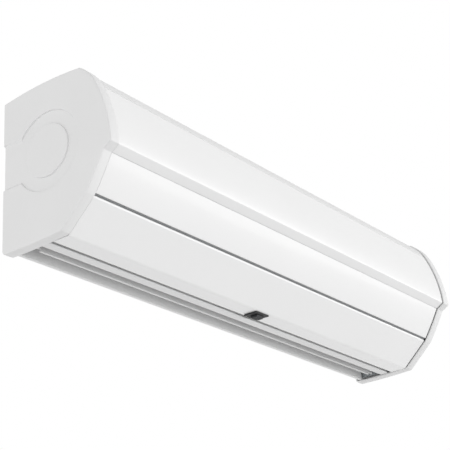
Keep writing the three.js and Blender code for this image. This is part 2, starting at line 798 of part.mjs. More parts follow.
const bushBore = trunnionRadius + running;
const bushRadius = bushBore + bushWall;

// A ring through the end plate with a flange inside it, given by the radii of bore, outside and flange, the
// flange's depth, and how far it stands out beyond the plate.
function flangedRing([bore, outside, flange], flangeDepth, beyond, centre, sides) {
  const profile = [
    [bore, plateInner - fit - flangeDepth],
    [bore, plateOuter + beyond],
    [outside, plateOuter + beyond],
    [outside, plateInner - fit],
    [flange, plateInner - fit],
    [flange, plateInner - fit - flangeDepth],
  ];
  return turned(profile, centre, sides);
}

const vaneBush = () =>
  flangedRing([bushBore, bushRadius, bushRadius + bushFlange], bushFlangeDepth, bushEnd, vaneAxis, 16);

// ---------------------------------------------------------------- end plates and partitions

function endPlate() {
  const through = (radius, spot, sides) => bar(radius + fit, plateInner - 1, plateOuter + 1, spot, sides);
  const holes = [
    through(bearingMountRadius, rotorAxis, 24),
    through(bushRadius, vaneAxis, 16),
    through(hingePinRadius, hingeAxis, 12),
    ...capScrewSpots.map((spot) => through(capScrewRadius, spot, 12)),
  ];
  return cut(alongX(offset(outline, plateInset, true), plateInner, plateOuter), ...holes);
}

// A cap's screw, from inside through the end plate into the cap's boss.
function capScrew(spot) {
  const seat = plateInner - fit;
  const head = bar(1.9 * capScrewRadius, seat - capScrewRadius, seat, spot, 12);
  const shank = bar(capScrewRadius, seat - 1, capInner + capScrewGrip, spot, 10);
  return joined(head, shank);
}

// A partition closes the duct beside the motor, from above the vane to over the rotor.
function partition() {
  const inner = motorBay / 2;
  const outer = inner + plateThickness;
  const vaneClear = vaneRise + vaneHeight + 7;
  const touchAngle = THREE.MathUtils.radToDeg(ductAngle) + 90;
  const over = round(rotorAxis, tongueReach - 2, 88, touchAngle - 9, 12);
  const front = offset([ductStart, tongueTip], -running).reverse();
  const duct = alongX([...offset(scrollAirSide(), running), ...over.slice(1), ...front], inner, outer);
  const below = block([inner - 1, -depth, -1], [outer + 1, 0, vaneClear]);
  return cut(duct, below, bar(hubRadius + 2, inner - 1, outer + 1, rotorAxis, 20));
}

// ---------------------------------------------------------------- cross-flow rotors

const rotorInner = motorBay / 2 + plateThickness + rotorEndGap;
const rotorOuter = plateInner - bearingInside - rotorEndGap / 2 - 2;

// One forward-curved blade, from the rotor's rim towards its middle.
function bladeSection(turn) {
  const stations = [
    [rotorRadius - 1.5, bladeLead],
    [rotorRadius - bladeDepth / 2, bladeLead / 3],
    [rotorRadius - bladeDepth, 0],
  ];
  const line = stations.map(([radius, lead]) => polar(rotorAxis, radius, turn + lead));
  return sheet(line, -bladeThickness / 2, bladeThickness / 2);
}

// A rotor: a cage of curved blades between two discs, with a stiffening ring half way.
function rotor() {
  const disc = (radius, from, to, sides) => bar(radius, from, to, rotorAxis, sides);
  const turns = Array.from({ length: bladeCount }, (_, i) => (360 * i) / bladeCount);
  const blades = turns.map((turn) => alongX(bladeSection(turn), rotorInner + 0.5, rotorOuter - 0.5));
  const middle = (rotorInner + rotorOuter) / 2;
  const ringHalf = rotorDisc / 2;
  const ring = cut(
    disc(rotorRadius, middle - ringHalf, middle + ringHalf, 36),
    disc(rotorRadius - bladeDepth - 2, middle - rotorDisc, middle + rotorDisc, 24),
  );
  const innerDisc = cut(
    disc(rotorRadius, rotorInner, rotorInner + rotorDisc, 36),
    disc(hubRadius + fit, rotorInner - 1, rotorInner + rotorDisc + 1, 20),
  );
  const outerDisc = disc(rotorRadius, rotorOuter - rotorDisc, rotorOuter, 36);
  const bossEnd = rotorOuter - rotorBossLength;
  const boss = disc(shaftRadius + 4, bossEnd, rotorOuter, 20);
  const bore = disc(shaftRadius + fit, bossEnd - 1, rotorOuter + 1, 20);
  return cut(joined(...blades, ring, innerDisc, outerDisc, boss), bore);
}

// The rubber hub that drives a rotor from the motor's shaft, with a collar outside the disc.
function rotorHub() {
  const bore = shaftRadius + fit;
  const [start, seat, end] = [rotorInner - hubCollar, rotorInner - fit, rotorInner + hubGrip];
  const profile = [
    [bore, start],
    [bore, end],
    [hubRadius, end],
    [hubRadius, seat],
    [hubRadius + 3, seat],
    [hubRadius + 3, start],
  ];
  return turned(profile, rotorAxis, 20);
}

const stubShaft = () =>
  bar(shaftRadius, rotorOuter - rotorBossLength, plateOuter + stubShaftEnd, rotorAxis, 16);

function bearing() {
  const [from, to] = [plateInner - bearingInside, plateOuter + bearingOutside];
  const bore = shaftRadius + fit;
  return turned([[bore, from], [bore, to], [bearingRadius, to], [bearingRadius, from]], rotorAxis, 20);
}

function bearingMount() {
  const radii = [bearingRadius + fit, bearingMountRadius, bearingMountRadius + mountFlange];
  return flangedRing(radii, mountFlangeDepth, mountEnd, rotorAxis, 24);
}

// ---------------------------------------------------------------- motor

function motorBody() {
  const half = motorLength / 2;
  const bell = motorRadius - motorBevel;
  const bore = shaftRadius + running;
  const noseEnd = half + motorNoseLength;
  const profile = [
    [bore, -noseEnd],
    [bore, noseEnd],
    [motorNoseRadius, noseEnd],
    [motorNoseRadius, half],
    [bell, half],
    [motorRadius, half - motorBevel],
    [motorRadius, -half + motorBevel],
    [bell, -half],
    [motorNoseRadius, -half],
    [motorNoseRadius, -noseEnd],
  ];
  return turned(profile, rotorAxis, 24);
}

function motorShaft() {
  const end = rotorInner + hubGrip - 1;
  return bar(shaftRadius, -end, end, rotorAxis, 16);
}

// The motor's saddle: a band round its body, and two gussets down to a foot on the rear duct wall.
function motorBracket() {
  const half = motorBandWidth / 2;
  const band = bar(motorRadius + fit + motorBand, -half, half, rotorAxis, 24);
  const bore = bar(motorRadius + fit, -half - 1, half + 1, rotorAxis, 24);
  const wallFace = -(slotRear + fit);
  const footFront = wallFace - saddleFoot;
  const footTop = rotorAxis.y - motorBand;
  const footEnd = half + saddleFootBeyond;
  const bandBack = rotorAxis.x + motorRadius - motorBand;
  const gusset = [
    at(bandBack, rotorAxis.y - motorRadius / 2),
    at(footFront + 1, footTop - saddleFootLength + 6),
    at(footFront + 1, footTop - 4),
    at(bandBack, rotorAxis.y + motorBand),
  ];
  const gussets = [-half, half - motorBand].map((from) => alongX(gusset, from, from + motorBand));
  const foot = block([-footEnd, footFront, footTop - saddleFootLength], [footEnd, wallFace, footTop]);
  return cut(joined(band, ...gussets, foot), bore);
}

// ---------------------------------------------------------------- electrical box behind the hatch

const boxLine = offset([ductStart, tongueTip], ductSheet + fit);
const boxLow = pointAlong(boxLine, boxSetUp);
const boxHigh = pointAlong(boxLine, boxSetUp + boxHeight);
const boxRoofLimit = byFlange(flangeLength, panelSheet).x + boxRoofClear;
const boxSection = [
  boxLow.clone().add(at(-boxFloorReach, 0)),
  boxLow,
  boxHigh,
  at(Math.max(boxHigh.x - boxRoofReach, boxRoofLimit), boxHigh.y),
];
const boxFloor = boxLow.y + boxWall;

// The rear lower corner inside the box, kept clear of both walls by a distance.
const boxCorner = (clear) => offset(boxSection, boxWall + fit + clear, true)[1];

// An open tray on the cut-off plate's front side.
function controlBox() {
  const [foot, low, high, top] = offset(boxSection, boxWall, true);
  const forward = at(-boxRoofReach, 0);
  const room = alongX([foot.add(forward), low, high, top.add(forward)], boxFrom + boxWall, boxTo - boxWall);
  return cut(alongX(boxSection, boxFrom, boxTo), room);
}

function terminalBlock() {
  const from = boxFrom + terminalSetIn;
  const to = from + terminalWays * terminalPitch;
  const back = boxCorner(terminalHeight).x;
  const top = boxFloor + fit + terminalHeight;
  const body = block([from, back - terminalDepth, boxFloor + fit], [to, back, top]);
  const wells = Array.from({ length: terminalWays }, (_, i) =>
    new THREE.CylinderGeometry(terminalWell, terminalWell, 2 * terminalWell, 12)
      .rotateX(Math.PI / 2)
      .translate(from + (i + 0.5) * terminalPitch, back - terminalDepth / 2, top));
  return cut(body, ...wells);
}

function capacitor() {
  const to = boxTo - capacitorSetIn;
  return bar(capacitorRadius, to - capacitorLength, to, boxCorner(capacitorRadius), 20);
}

// ---------------------------------------------------------------- cable entry, wall bracket and hanger

// A blind rubber grommet: a flange on each side of the casing and a thin web across it, to be pierced for a
// cable.
function cableGrommet() {
  const face = -wallGap;
  const inside = face - casingSheet;
  const flange = grommetRadius + grommetFlange;
  const profile = [
    [0, inside],
    [grommetBore, inside],
    [grommetBore, inside - grommetLip],
    [flange, inside - grommetLip],
    [flange, inside - fit],
    [grommetRadius - fit, inside - fit],
    [grommetRadius - fit, face + fit],
    [flange, face + fit],
    [flange, face + grommetLip],
    [grommetBore, face + grommetLip],
    [grommetBore, face],
    [0, face],
  ];
  const points = profile.map(([radius, y]) => at(radius, y));
  return new THREE.LatheGeometry(points, 16).translate(grommetSpot.x, 0, grommetSpot.z);
}

// The wall bracket: a flat plate on the wall whose top turns out and up into a hook.
function wallBracket() {
  const half = bracketSheet / 2;
  const line = [
    at(-half, bracketTop - bracketHeight),
    at(-half, bracketTop),
    at(-half - hookReach, bracketTop),
    at(-half - hookReach, bracketTop + hookRise),
  ];
  const holes = bracketHoleSpots.map((share) =>
    barAlongY(bracketHole, -bracketSheet - 1, 1, { x: share * bracketLength, z: hangLevel }, 16));
  return cut(alongX(sheet(line, -half, half), -bracketLength / 2, bracketLength / 2), ...holes);
}

// The casing's hanger: flat on its back, turned over the bracket's hook.
function casingHanger() {
  const against = -wallGap + fit;
  const over = bracketTop + hookRise + fit + hangerSheet;
  const down = -hangerSheet - fit;
  const line = [
    at(against, bracketTop - hangerDrop),
    at(against, over),
    at(down, over),
    at(down, bracketTop + hangerClear),
  ];
  const half = bracketLength / 2 - hangerShort;
  return alongX(sheet(line, -hangerSheet, 0), -half, half);
}

// ---------------------------------------------------------------- the assembly

pair("end_cap", endCap(), "mouldedWhite");
piece("rear_casing", rearCasing(), "paintedWhite");
piece("intake_grille", intakeGrille(), "mouldedWhite");
piece("front_cover", frontCover(), "glossWhite");
piece("lower_panel", lowerPanel(), "glossWhite");
piece("step_rail", stepRail(), "aluminium");
piece("top_rail", topRail(), "aluminium");
pair("end_plate", endPlate(), "galvanised");
pair("cap_screw_upper", capScrew(capScrewSpots[0]), "steel");
pair("cap_screw_lower", capScrew(capScrewSpots[1]), "steel");
pair("cap_screw_rear", capScrew(capScrewSpots[2]), "steel");

piece("hatch_panel", hatchPanel(), "glossWhite");
piece("hatch_seal", hatchSeal(), "sealGrey");
pair("hinge_pin", hingePin(), "steel");
piece("latch_base", latchBase(), "blackPlastic");
piece("latch_slider", latchSlider(), "blackPlastic");

piece("front_rail", frontRail(), "paintedWhite");
piece("cutoff_plate", cutoffPlate(), "paintedWhite");
piece("scroll_wall", scrollWall(), "paintedWhite");
pair("partition", partition(), "paintedWhite");
piece("vane_blade", vaneBlade(), "paintedWhite");
pair("vane_end", vaneEnd(), "mouldedWhite");
pair("vane_bush", vaneBush(), "greyPlastic");

pair("rotor", rotor(), "aluminium");
pair("rotor_hub", rotorHub(), "rubber");
pair("stub_shaft", stubShaft(), "steel");
pair("bearing", bearing(), "steel");
pair("bearing_mount", bearingMount(), "rubber");
piece("motor_body", motorBody(), "galvanised");
piece("motor_shaft", motorShaft(), "steel");
piece("motor_bracket", motorBracket(), "galvanised");

piece("control_box", controlBox(), "galvanised");
piece("terminal_block", terminalBlock(), "greyPlastic");
piece("capacitor", capacitor(), "greyPlastic");
piece("cable_grommet", cableGrommet(), "rubber");
piece("wall_bracket", wallBracket(), "galvanised");
piece("casing_hanger", casingHanger(), "galvanised");

export default unit;
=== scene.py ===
import math

import bmesh
import bpy
import numpy as np
from bpy.props import FloatProperty, FloatVectorProperty, IntProperty, PointerProperty
from mathutils import Matrix, Vector


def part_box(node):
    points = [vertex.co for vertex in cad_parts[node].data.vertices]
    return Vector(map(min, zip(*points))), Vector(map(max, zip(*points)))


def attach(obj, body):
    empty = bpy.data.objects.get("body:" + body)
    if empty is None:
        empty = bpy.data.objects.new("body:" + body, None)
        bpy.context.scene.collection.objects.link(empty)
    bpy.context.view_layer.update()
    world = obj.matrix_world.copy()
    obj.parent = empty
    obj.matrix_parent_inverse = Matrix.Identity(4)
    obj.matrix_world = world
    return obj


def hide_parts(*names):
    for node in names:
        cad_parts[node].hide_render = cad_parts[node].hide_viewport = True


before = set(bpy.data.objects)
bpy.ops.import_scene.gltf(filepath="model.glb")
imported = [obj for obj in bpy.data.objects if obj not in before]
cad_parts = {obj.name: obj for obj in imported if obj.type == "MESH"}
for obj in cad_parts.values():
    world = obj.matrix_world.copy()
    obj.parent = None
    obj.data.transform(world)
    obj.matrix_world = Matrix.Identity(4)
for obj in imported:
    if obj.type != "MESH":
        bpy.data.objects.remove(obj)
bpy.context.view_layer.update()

bl_info = {
    "name": "Air Curtain",
    "version": (1, 0, 0),
    "blender": (4, 5, 0),
    "location": "View3D > Sidebar > Air Curtain",
    "description": "Builds the visible pieces and finishes of a wall-hung air curtain round its CAD frame",
    "category": "Object",
}

# Sections are (y, z) in millimetres, with the wall at y = 0 and the body's underside at z = 0.
# The frame's origin is HANG above the underside.
HANG = 203.0


# ---- lines of the section


def point(y, z):
    return np.array([y, z], float)


def unit(vector):
    return vector / np.hypot(*vector)


def spokes(angle):
    """Steps of length one at angles in radians."""
    return np.column_stack([np.cos(angle), np.sin(angle)])


def arc(a, b, sag, steps):
    """Points of the circular arc from a up to b without b: the centre lies on the chord's normal, at radius
    minus sag."""
    chord = b - a
    half = np.hypot(*chord) / 2
    radius = (half * half + sag * sag) / (2 * sag)
    right = point(chord[1], -chord[0]) / (2 * half)
    centre = (a + b) / 2 + right * (sag - radius)
    start = math.atan2(*(a - centre)[::-1])
    angle = start + 2 * math.asin(half / radius) * np.arange(steps) / steps
    return centre + abs(radius) * spokes(angle)


def circle(centre, radius, start, end, steps):
    """Points at equal angles, in degrees, on the circle about centre, both ends included."""
    return centre + radius * spokes(np.radians(np.linspace(start, end, steps + 1)))


def rounded(before, corner, after, radius, steps=6):
    """The corner's stand-in: the arc of that radius that touches both sides."""
    back, on = unit(before - corner), unit(after - corner)
    half = math.acos(np.clip(back @ on, -1, 1)) / 2
    reach = radius / math.tan(half)
    turn = back[0] * on[1] - back[1] * on[0]
    start, end = corner + back * reach, corner + on * reach
    sag = radius * (1 - math.sin(half)) * (1 if turn < 0 else -1)
    return np.vstack([arc(start, end, sag, steps), end])


def folded(corners, radius, steps=6):
    """A line through the corners with each inner one rounded: a sheet's bend line."""
    threes = zip(corners, corners[1:], corners[2:])
    return np.vstack([corners[0], *(rounded(*three, radius, steps) for three in threes), corners[-1]])


def offset(line, distance, closed=False):
    """The line moved to its left: each point goes along the sum of its two sides' normals, scaled to keep the
    distance."""
    line = np.asarray(line, float)
    last, after = np.roll(line, 1, 0), np.roll(line, -1, 0)
    into, out = line - last, after - line
    if not closed:
        into[0], out[-1] = out[0], into[-1]
    into /= np.hypot(*into.T)[:, None]
    out /= np.hypot(*out.T)[:, None]
    normal = np.column_stack([-into[:, 1] - out[:, 1], into[:, 0] + out[:, 0]])
    return line + normal * (distance / (0.5 * (normal ** 2).sum(1)))[:, None]


def runs(line):
    """Distance along the line at each of its points."""
    return np.concatenate([[0], np.cumsum(np.hypot(*np.diff(line, axis=0).T))])


def at_run(line, run):
    """Points at given distances along the line."""
    s = runs(line)
    return np.column_stack([np.interp(run, s, line[:, 0]), np.interp(run, s, line[:, 1])])


def stretch(line, start, end):
    """The part of a line between two distances along it."""
    s = runs(line)
    inside = line[(s > start + 1e-6) & (s < end - 1e-6)]
    return np.vstack([at_run(line, [start]), inside, at_run(line, [end])])


def relaxed(line, width, spacing=1.5):
    """The line resampled evenly and averaged over a sliding window with both ends kept, so that its arcs flow
    into each other."""
    total = runs(line)[-1]
    even = at_run(line, np.linspace(0, total, int(total / spacing) + 1))
    reach = max(1, int(width / spacing / 2))
    kernel = np.hanning(2 * reach + 3)[1:-1]
    kernel /= kernel.sum()
    before = 2 * even[0] - even[reach:0:-1]
    after = 2 * even[-1] - even[-2:-reach - 2:-1]
    padded = np.vstack([before, even, after])
    return np.column_stack([np.convolve(padded[:, k], kernel, "valid") for k in (0, 1)])


def crossing(line, from_wall):
    """The distance along a forward line at which it passes a depth from the wall."""
    i = int(np.argmax(line[:, 0] < -from_wall))
    share = (-from_wall - line[i - 1, 0]) / (line[i, 0] - line[i - 1, 0])
    s = runs(line)
    return s[i - 1] + share * (s[i] - s[i - 1])


class Section:
    """The lines that the long pieces follow, worked out from the settings and these other sizes."""

    left_gap, right_gap, plate_gap = 2.1, 3.2, 1.8
    back_drop, crown_setback, crown_drop = 7, 60.5, 3.7
    shoulder_setback, shoulder_drop = 31.5, 33
    nose_height, heel_setback, heel_height = 112, 15, 103
    seam_setback, seam_height, seam_gap = 49.5, 46, 3.4
    slot_rear, slot_width, rail_width, rail_gap, hatch_floor = 17, 43.5, 21, 4, 36
    top_bulge, crown_bulge, front_bulge, flat_bulge, toe_bulge = 5.3, 2.3, 6.6, 1.0, 2.0
    toe_setback, toe_drop, toe_rise = 8, 3, 2.5
    nose_radius, heel_radius, seam_radius, low_radius = 3.2, 1.5, 12, 8
    joint_setback, joint_shift = 33.7, 7.5
    flap_gap, hinge_depth = 5, 3.5
    rotor_setback, rotor_drop, vane_setback, vane_height = 93, 118.5, 41.5, 22
    lip_setback, lip_height, tongue_reach, tongue_past = 4, 16, 64, 4

    def __init__(self, sizes):
        depth, height, inset = sizes.depth * 1000, sizes.height * 1000, sizes.panel_inset * 1000
        self.cap_outer = sizes.length * 1000 / 2
        self.cap_inner = self.cap_outer - sizes.cap_width * 1000
        self.panel_end = self.cap_inner - self.right_gap
        self.panel_ends = [self.left_gap - self.cap_inner, self.panel_end]
        self.plate_inner = self.cap_inner - self.plate_gap
        self.nose = point(-depth, self.nose_height)
        self.heel = point(self.heel_setback - depth, self.heel_height)
        self.seam = point(self.seam_setback - depth, self.seam_height)
        self.slot_front = self.slot_rear + self.slot_width
        self.rail_front = self.slot_front + self.rail_width
        self.hatch_rear = self.rail_front + self.rail_gap
        self.hatch_corner = point(-(self.hatch_rear + self.hatch_floor), 0)
        self.back_top = point(0, height - self.back_drop)
        self.trace(depth, height)
        face = offset(np.vstack([self.over_top, self.heel]), inset)
        self.face_top = face[:-1]
        self.heel_face = offset(np.vstack([self.nose, self.heel, self.under[1:]]), inset)[1]
        self.shoulder_run = crossing(self.face_top, depth - self.joint_setback)
        self.joint_run = self.shoulder_run + self.joint_shift
        self.lower_face = np.vstack([self.heel_face, offset(self.under, inset)[1:]])
        down = unit(self.seam - self.heel)
        self.seam_down, self.seam_inward = down, point(-down[1], down[0])
        self.lower_line = stretch(self.lower_face, 0.3, runs(self.lower_face)[-1] - self.seam_gap)
        flap = unit(self.hatch_corner - self.seam)
        inward = point(-flap[1], flap[0])
        self.flap_start = self.seam + inward * inset + flap * self.flap_gap
        self.flap_foot = self.flap_start - flap * self.flap_start[1] / flap[1]
        self.hinge = self.flap_start + inward * self.hinge_depth
        self.rotor = point(-self.rotor_setback, height - self.rotor_drop)
        self.vane = point(-self.vane_setback, self.vane_height)
        self.rail_lip = point(-self.slot_front - self.lip_setback, self.lip_height)
        self.duct_start = self.rail_lip + point(0, 1)
        to_rotor = self.rotor - self.duct_start
        reach = np.hypot(*to_rotor)
        angle = math.atan2(to_rotor[1], to_rotor[0]) + math.asin(self.tongue_reach / reach)
        run = math.sqrt(reach ** 2 - self.tongue_reach ** 2) + self.tongue_past
        self.tongue = self.duct_start + point(math.cos(angle), math.sin(angle)) * run

    def trace(self, depth, height):
        """The caps' outline, from the back's top corner over the top, nose and hatch to the back's foot."""
        crown = point(self.crown_setback - depth, height - self.crown_drop)
        shoulder = point(self.shoulder_setback - depth, height - self.shoulder_drop)
        toe, foot = point(-self.toe_setback, -self.toe_drop), point(0, self.toe_rise)
        over = np.vstack([arc(self.back_top, crown, self.top_bulge, 48),
                          arc(crown, shoulder, self.crown_bulge, 24),
                          arc(shoulder, self.nose, self.front_bulge, 48), self.nose])
        self.over_top = relaxed(over, 3, 0.75)
        self.under = np.vstack([arc(self.heel, self.seam, self.flat_bulge, 16), self.seam])
        nose_round = rounded(self.over_top[-12], self.nose, self.heel, self.nose_radius)
        heel_round = rounded(self.nose, self.heel, self.under[2], self.heel_radius)
        seam_round = rounded(self.heel, self.seam, self.hatch_corner, self.seam_radius, 8)
        low_round = rounded(self.seam, self.hatch_corner, toe, self.low_radius, 10)
        belly = arc(self.hatch_corner * 0.92 + toe * 0.08, toe, self.flat_bulge, 16)
        top = self.over_top[self.over_top[:, 1] > nose_round[0, 1] + 0.5]
        heights = self.under[:, 1]
        lower = self.under[(heights < heel_round[-1, 1] - 0.5) & (heights > seam_round[0, 1] + 0.5)]
        self.outline = np.vstack([top, nose_round, heel_round, lower, seam_round, low_round, belly[1:],
                                  arc(toe, foot, self.toe_bulge, 8), foot])

    def by_flange(self, inward, above):
        """A point by the lower panel's flange: a distance inward along it, and a distance above it."""
        return self.lower_line[-1] + self.seam_inward * inward - self.seam_down * above


# ---- meshes


def placed(x, section):
    """Rows of metres in the frame from x and (y, z) in millimetres."""
    x, section = np.broadcast_arrays(np.asarray(x, float)[..., None], section)
    whole = np.concatenate([x[..., :1], section], -1) / 1000
    whole[..., 2] -= HANG / 1000
    return whole


def linked(name, data):
    """An object in the scene that holds the data."""
    obj = bpy.data.objects.new(name, data)
    bpy.context.scene.collection.objects.link(obj)
    return obj


def piece(name, shape, slot, nodes, body="casing", bevel=0.0, solid=0.0, smooth=40, material=None):
    """An object from a shape's arrays: doubles merged, faces out, a wall by Solidify and edges by Bevel."""
    vertices, faces = shape
    mesh = bpy.data.meshes.new(name)
    mesh.from_pydata(np.asarray(vertices).reshape(-1, 3).tolist(), [], faces)
    obj = linked(name, mesh)
    work = bmesh.new()
    work.from_mesh(mesh)
    bmesh.ops.remove_doubles(work, verts=work.verts, dist=2e-6)
    loose = [edge for edge in work.edges if not edge.link_faces]
    bmesh.ops.delete(work, geom=loose, context="EDGES")
    if not solid:
        bmesh.ops.recalc_face_normals(work, faces=work.faces)
    work.to_mesh(mesh)
    work.free()
    mesh.shade_smooth()
    mesh.set_sharp_from_angle(angle=math.radians(smooth))
    if solid:
        wall = obj.modifiers.new("wall", "SOLIDIFY")
        wall.thickness = solid / 1000
        wall.offset = -1
        wall.use_even_offset = True
    if bevel:
        edge = obj.modifiers.new("edges", "BEVEL")
        edge.width = bevel / 1000
        edge.segments = 2
        edge.limit_method = "ANGLE"
        edge.angle_limit = math.radians(smooth)
        edge.harden_normals = True
    mesh.materials.append(material or finishes()[slot])
    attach(obj, body)
    if nodes:
        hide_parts(*nodes)
    return obj


def both_sides(*rows):
    """The right-hand pieces and their mirror images, each named for its side."""
    for side in ("right", "left"):
        for name, right, slot, node_name, more in rows:
            shape = right if side == "right" else mirrored(right)
            piece(f"{name}_{side}", shape, slot, [f"{node_name}_{side}"], **more)


def grid_faces(rows, columns, closed_rows=False, closed_columns=False, start=0):
    """Quads of a grid of rows by columns of vertices, row by row."""
    r = np.arange(rows if closed_rows else rows - 1)[:, None]
    c = np.arange(columns if closed_columns else columns - 1)[None, :]
    r2, c2 = (r + 1) % rows, (c + 1) % columns
    quads = np.stack([r * columns + c, r * columns + c2, r2 * columns + c2, r2 * columns + c], -1)
    return (quads.reshape(-1, 4) + start).tolist()


def carried(section, xs):
    """A closed section carried along X, with both ends filled."""
    xs = np.asarray(xs, float)
    sections = np.broadcast_to(section, (len(xs), *section.shape))
    vertices = placed(np.repeat(xs[:, None], len(section), 1), sections)
    faces = grid_faces(len(xs), len(section), closed_columns=True)
    last = (len(xs) - 1) * len(section)
    ends = [list(range(len(section))), list(range(last + len(section) - 1, last - 1, -1))]
    return vertices.reshape(-1, 3), faces + ends


def turned(profile, centre, steps=72, axis="X"):
    """A closed loop of (radius, place along the axis) turned round the axis through centre."""
    profile = np.asarray(profile, float)
    angle = np.linspace(0, 2 * math.pi, steps, endpoint=False)[:, None]
    first, second = profile[:, 0] * np.cos(angle), profile[:, 0] * np.sin(angle)
    along = np.broadcast_to(profile[:, 1], first.shape)
    if axis == "X":
        grid = placed(along, np.stack([centre[0] + first, centre[1] + second], -1))
    else:
        grid = placed(centre[0] + first, np.stack([along, centre[1] + second], -1))
    return grid.reshape(-1, 3), grid_faces(steps, len(profile), closed_rows=True, closed_columns=True)


def ring(inner, outer, low, high):
    """A washer's section as (radius, place along the axis)."""
    return [(inner, low), (inner, high), (outer, high), (outer, low)]


def flanged(bore, barrel, flange, low, collar, high):
    """The section of a ring with a flange from its low end up to the collar."""
    return [(bore, low), (bore, high), (barrel, high), (barrel, collar), (flange, collar), (flange, low)]


def together(*parts):
    """Several vertex and face lists as one."""
    vertices, faces, start = [], [], 0
    for some, quads in parts:
        vertices.append(np.asarray(some).reshape(-1, 3))
        faces += [[i + start for i in face] for face in quads]
        start += len(vertices[-1])
    return np.vstack(vertices), faces


def mirrored(part):
    vertices, faces = part
    return np.asarray(vertices) * [-1, 1, 1], [face[::-1] for face in faces]


def pierced(line, us, holes=(), openings=()):
    """A sheet's outer surface: a grid of x by distance along the line. Each round-ended hole (x, run, half
    length of its straight sides, radius, half tile width, half tile height) fills a tile of the grid with a
    ring of quads, and each opening (x from, x to, run from, run to) drops its cells."""
    vs = runs(line)
    total = vs[-1]
    for _, run, _, _, _, tall in holes:
        vs = vs[(vs < run - tall - 0.4) | (vs > run + tall + 0.4)]
    hole_vs = [run + tall * share for _, run, _, _, _, tall in holes for share in (-1, -0.5, 0, 0.5, 1)]
    hole_us = [x + side * far for x, _, half, _, wide, _ in holes for side in (-1, 1) for far in (half, wide)]
    open_us = [x for a, b, _, _ in openings for x in (a, b)]
    open_vs = [v for _, _, a, b in openings for v in (a, b)]
    us = np.unique(np.round([*us, *hole_us, *open_us], 4))
    vs = np.unique(np.round([*vs, 0, total, *hole_vs, *open_vs], 4))
    middle_u, middle_v = (us[1:] + us[:-1]) / 2, (vs[1:] + vs[:-1]) / 2
    keep = np.ones((len(middle_v), len(middle_u)), bool)
    for x, run, _, _, wide, tall in holes:
        keep &= ~((abs(middle_v - run) < tall)[:, None] & (abs(middle_u - x) < wide)[None, :])
    for a, b, c, d in openings:
        keep &= ~(((middle_v > c) & (middle_v < d))[:, None] & ((middle_u > a) & (middle_u < b))[None, :])
    row, column = np.nonzero(keep)
    corners = ((0, 0), (0, 1), (1, 1), (1, 0))
    rings = [np.stack([np.stack([us[column + i], vs[row + j]], -1) for i, j in corners], 1)]
    for x, run, half, radius, wide, tall in holes:
        angle = np.radians(np.linspace(-90, 90, 7))
        right = np.column_stack([half + radius * np.cos(angle), radius * np.sin(angle)])
        hole = np.vstack([right, -right])
        side = [[half, -tall], *([wide, tall * share] for share in (-1, -0.5, 0, 0.5, 1)), [half, tall]]
        rim = np.vstack([side, -np.array(side)])
        quads = np.stack([rim, hole, np.roll(hole, -1, 0), np.roll(rim, -1, 0)], 1)
        rings.append(quads + [x, run])
    quads = np.concatenate(rings)
    flat, index = np.unique(np.round(quads.reshape(-1, 2), 3), axis=0, return_inverse=True)
    vertices = placed(flat[:, 0], at_run(line, flat[:, 1]))
    return vertices, index.reshape(-1, 4).tolist()


def closed_sheet(line, near, far):
    """The closed section of a sheet that follows a line, from one distance to its left to another."""
    return np.vstack([offset(line, near), offset(line, far)[::-1]])


def refined(name, node_name, slot, bevel, body="casing", material=None):
    """A CAD node's solid with its doubles merged, its flat faces made whole, and its edges rounded."""
    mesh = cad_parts[node_name].data
    flat, corners = np.empty(len(mesh.vertices) * 3), np.empty(len(mesh.loops), int)
    mesh.vertices.foreach_get("co", flat)
    mesh.loops.foreach_get("vertex_index", corners)
    places, index = np.unique(np.round(flat.reshape(-1, 3), 6), axis=0, return_inverse=True)
    rough = bpy.data.meshes.new(name + "_rough")
    rough.from_pydata(places.tolist(), [], index.reshape(-1)[corners].reshape(-1, 3).tolist())
    whole = bmesh.new()
    whole.from_mesh(rough)
    bpy.data.meshes.remove(rough)
    bmesh.ops.dissolve_limit(whole, angle_limit=math.radians(1), verts=whole.verts, edges=whole.edges)
    whole.verts.ensure_lookup_table()
    vertices = [vertex.co[:] for vertex in whole.verts]
    faces = [[vertex.index for vertex in face.verts] for face in whole.faces]
    whole.free()
    piece(name, (vertices, faces), slot, [node_name], body, bevel=bevel, smooth=30, material=material)


# ---- finishes


def linear(code):
    """An sRGB hex value as linear red, green, blue and alpha."""
    value = np.array([int(code[i:i + 2], 16) for i in (1, 3, 5)]) / 255
    value = np.where(value <= 0.04045, value / 12.92, ((value + 0.055) / 1.055) ** 2.4)
    return (*value.tolist(), 1.0)


def feed(tree, socket, value):
    """Gives a socket its link or its value."""
    if isinstance(value, bpy.types.NodeSocket):
        tree.links.new(value, socket)
    else:
        socket.default_value = value


def node(tree, kind, **settings):
    """A node with its settings: sockets fills its inputs in order, stops sets a ramp's, a socket's name feeds
    that socket, and any other is an attribute."""
    made = tree.nodes.new("ShaderNode" + kind)
    for key, value in settings.items():
        socket = next((s for s in made.inputs if s.enabled and s.name.replace(" ", "_") == key), None)
        if key == "sockets":
            for each, given in zip(made.inputs, value):
                feed(tree, each, given)
        elif key == "stops":
            for stop, (place, code) in zip(made.color_ramp.elements, value):
                stop.position, stop.color = place, code
        elif socket is None:
            setattr(made, key, value)
        else:
            feed(tree, socket, value)
    return made


def surface(name, **shader):
    """A new material with a Principled shader: gives it, its tree, the shader and the object coordinates."""
    material = bpy.data.materials.new(name)
    material.use_nodes = True
    tree = material.node_tree
    tree.nodes.clear()
    body = node(tree, "BsdfPrincipled", **shader)
    node(tree, "OutputMaterial", Surface=body.outputs["BSDF"])
    return material, tree, body, node(tree, "TexCoord").outputs["Object"]


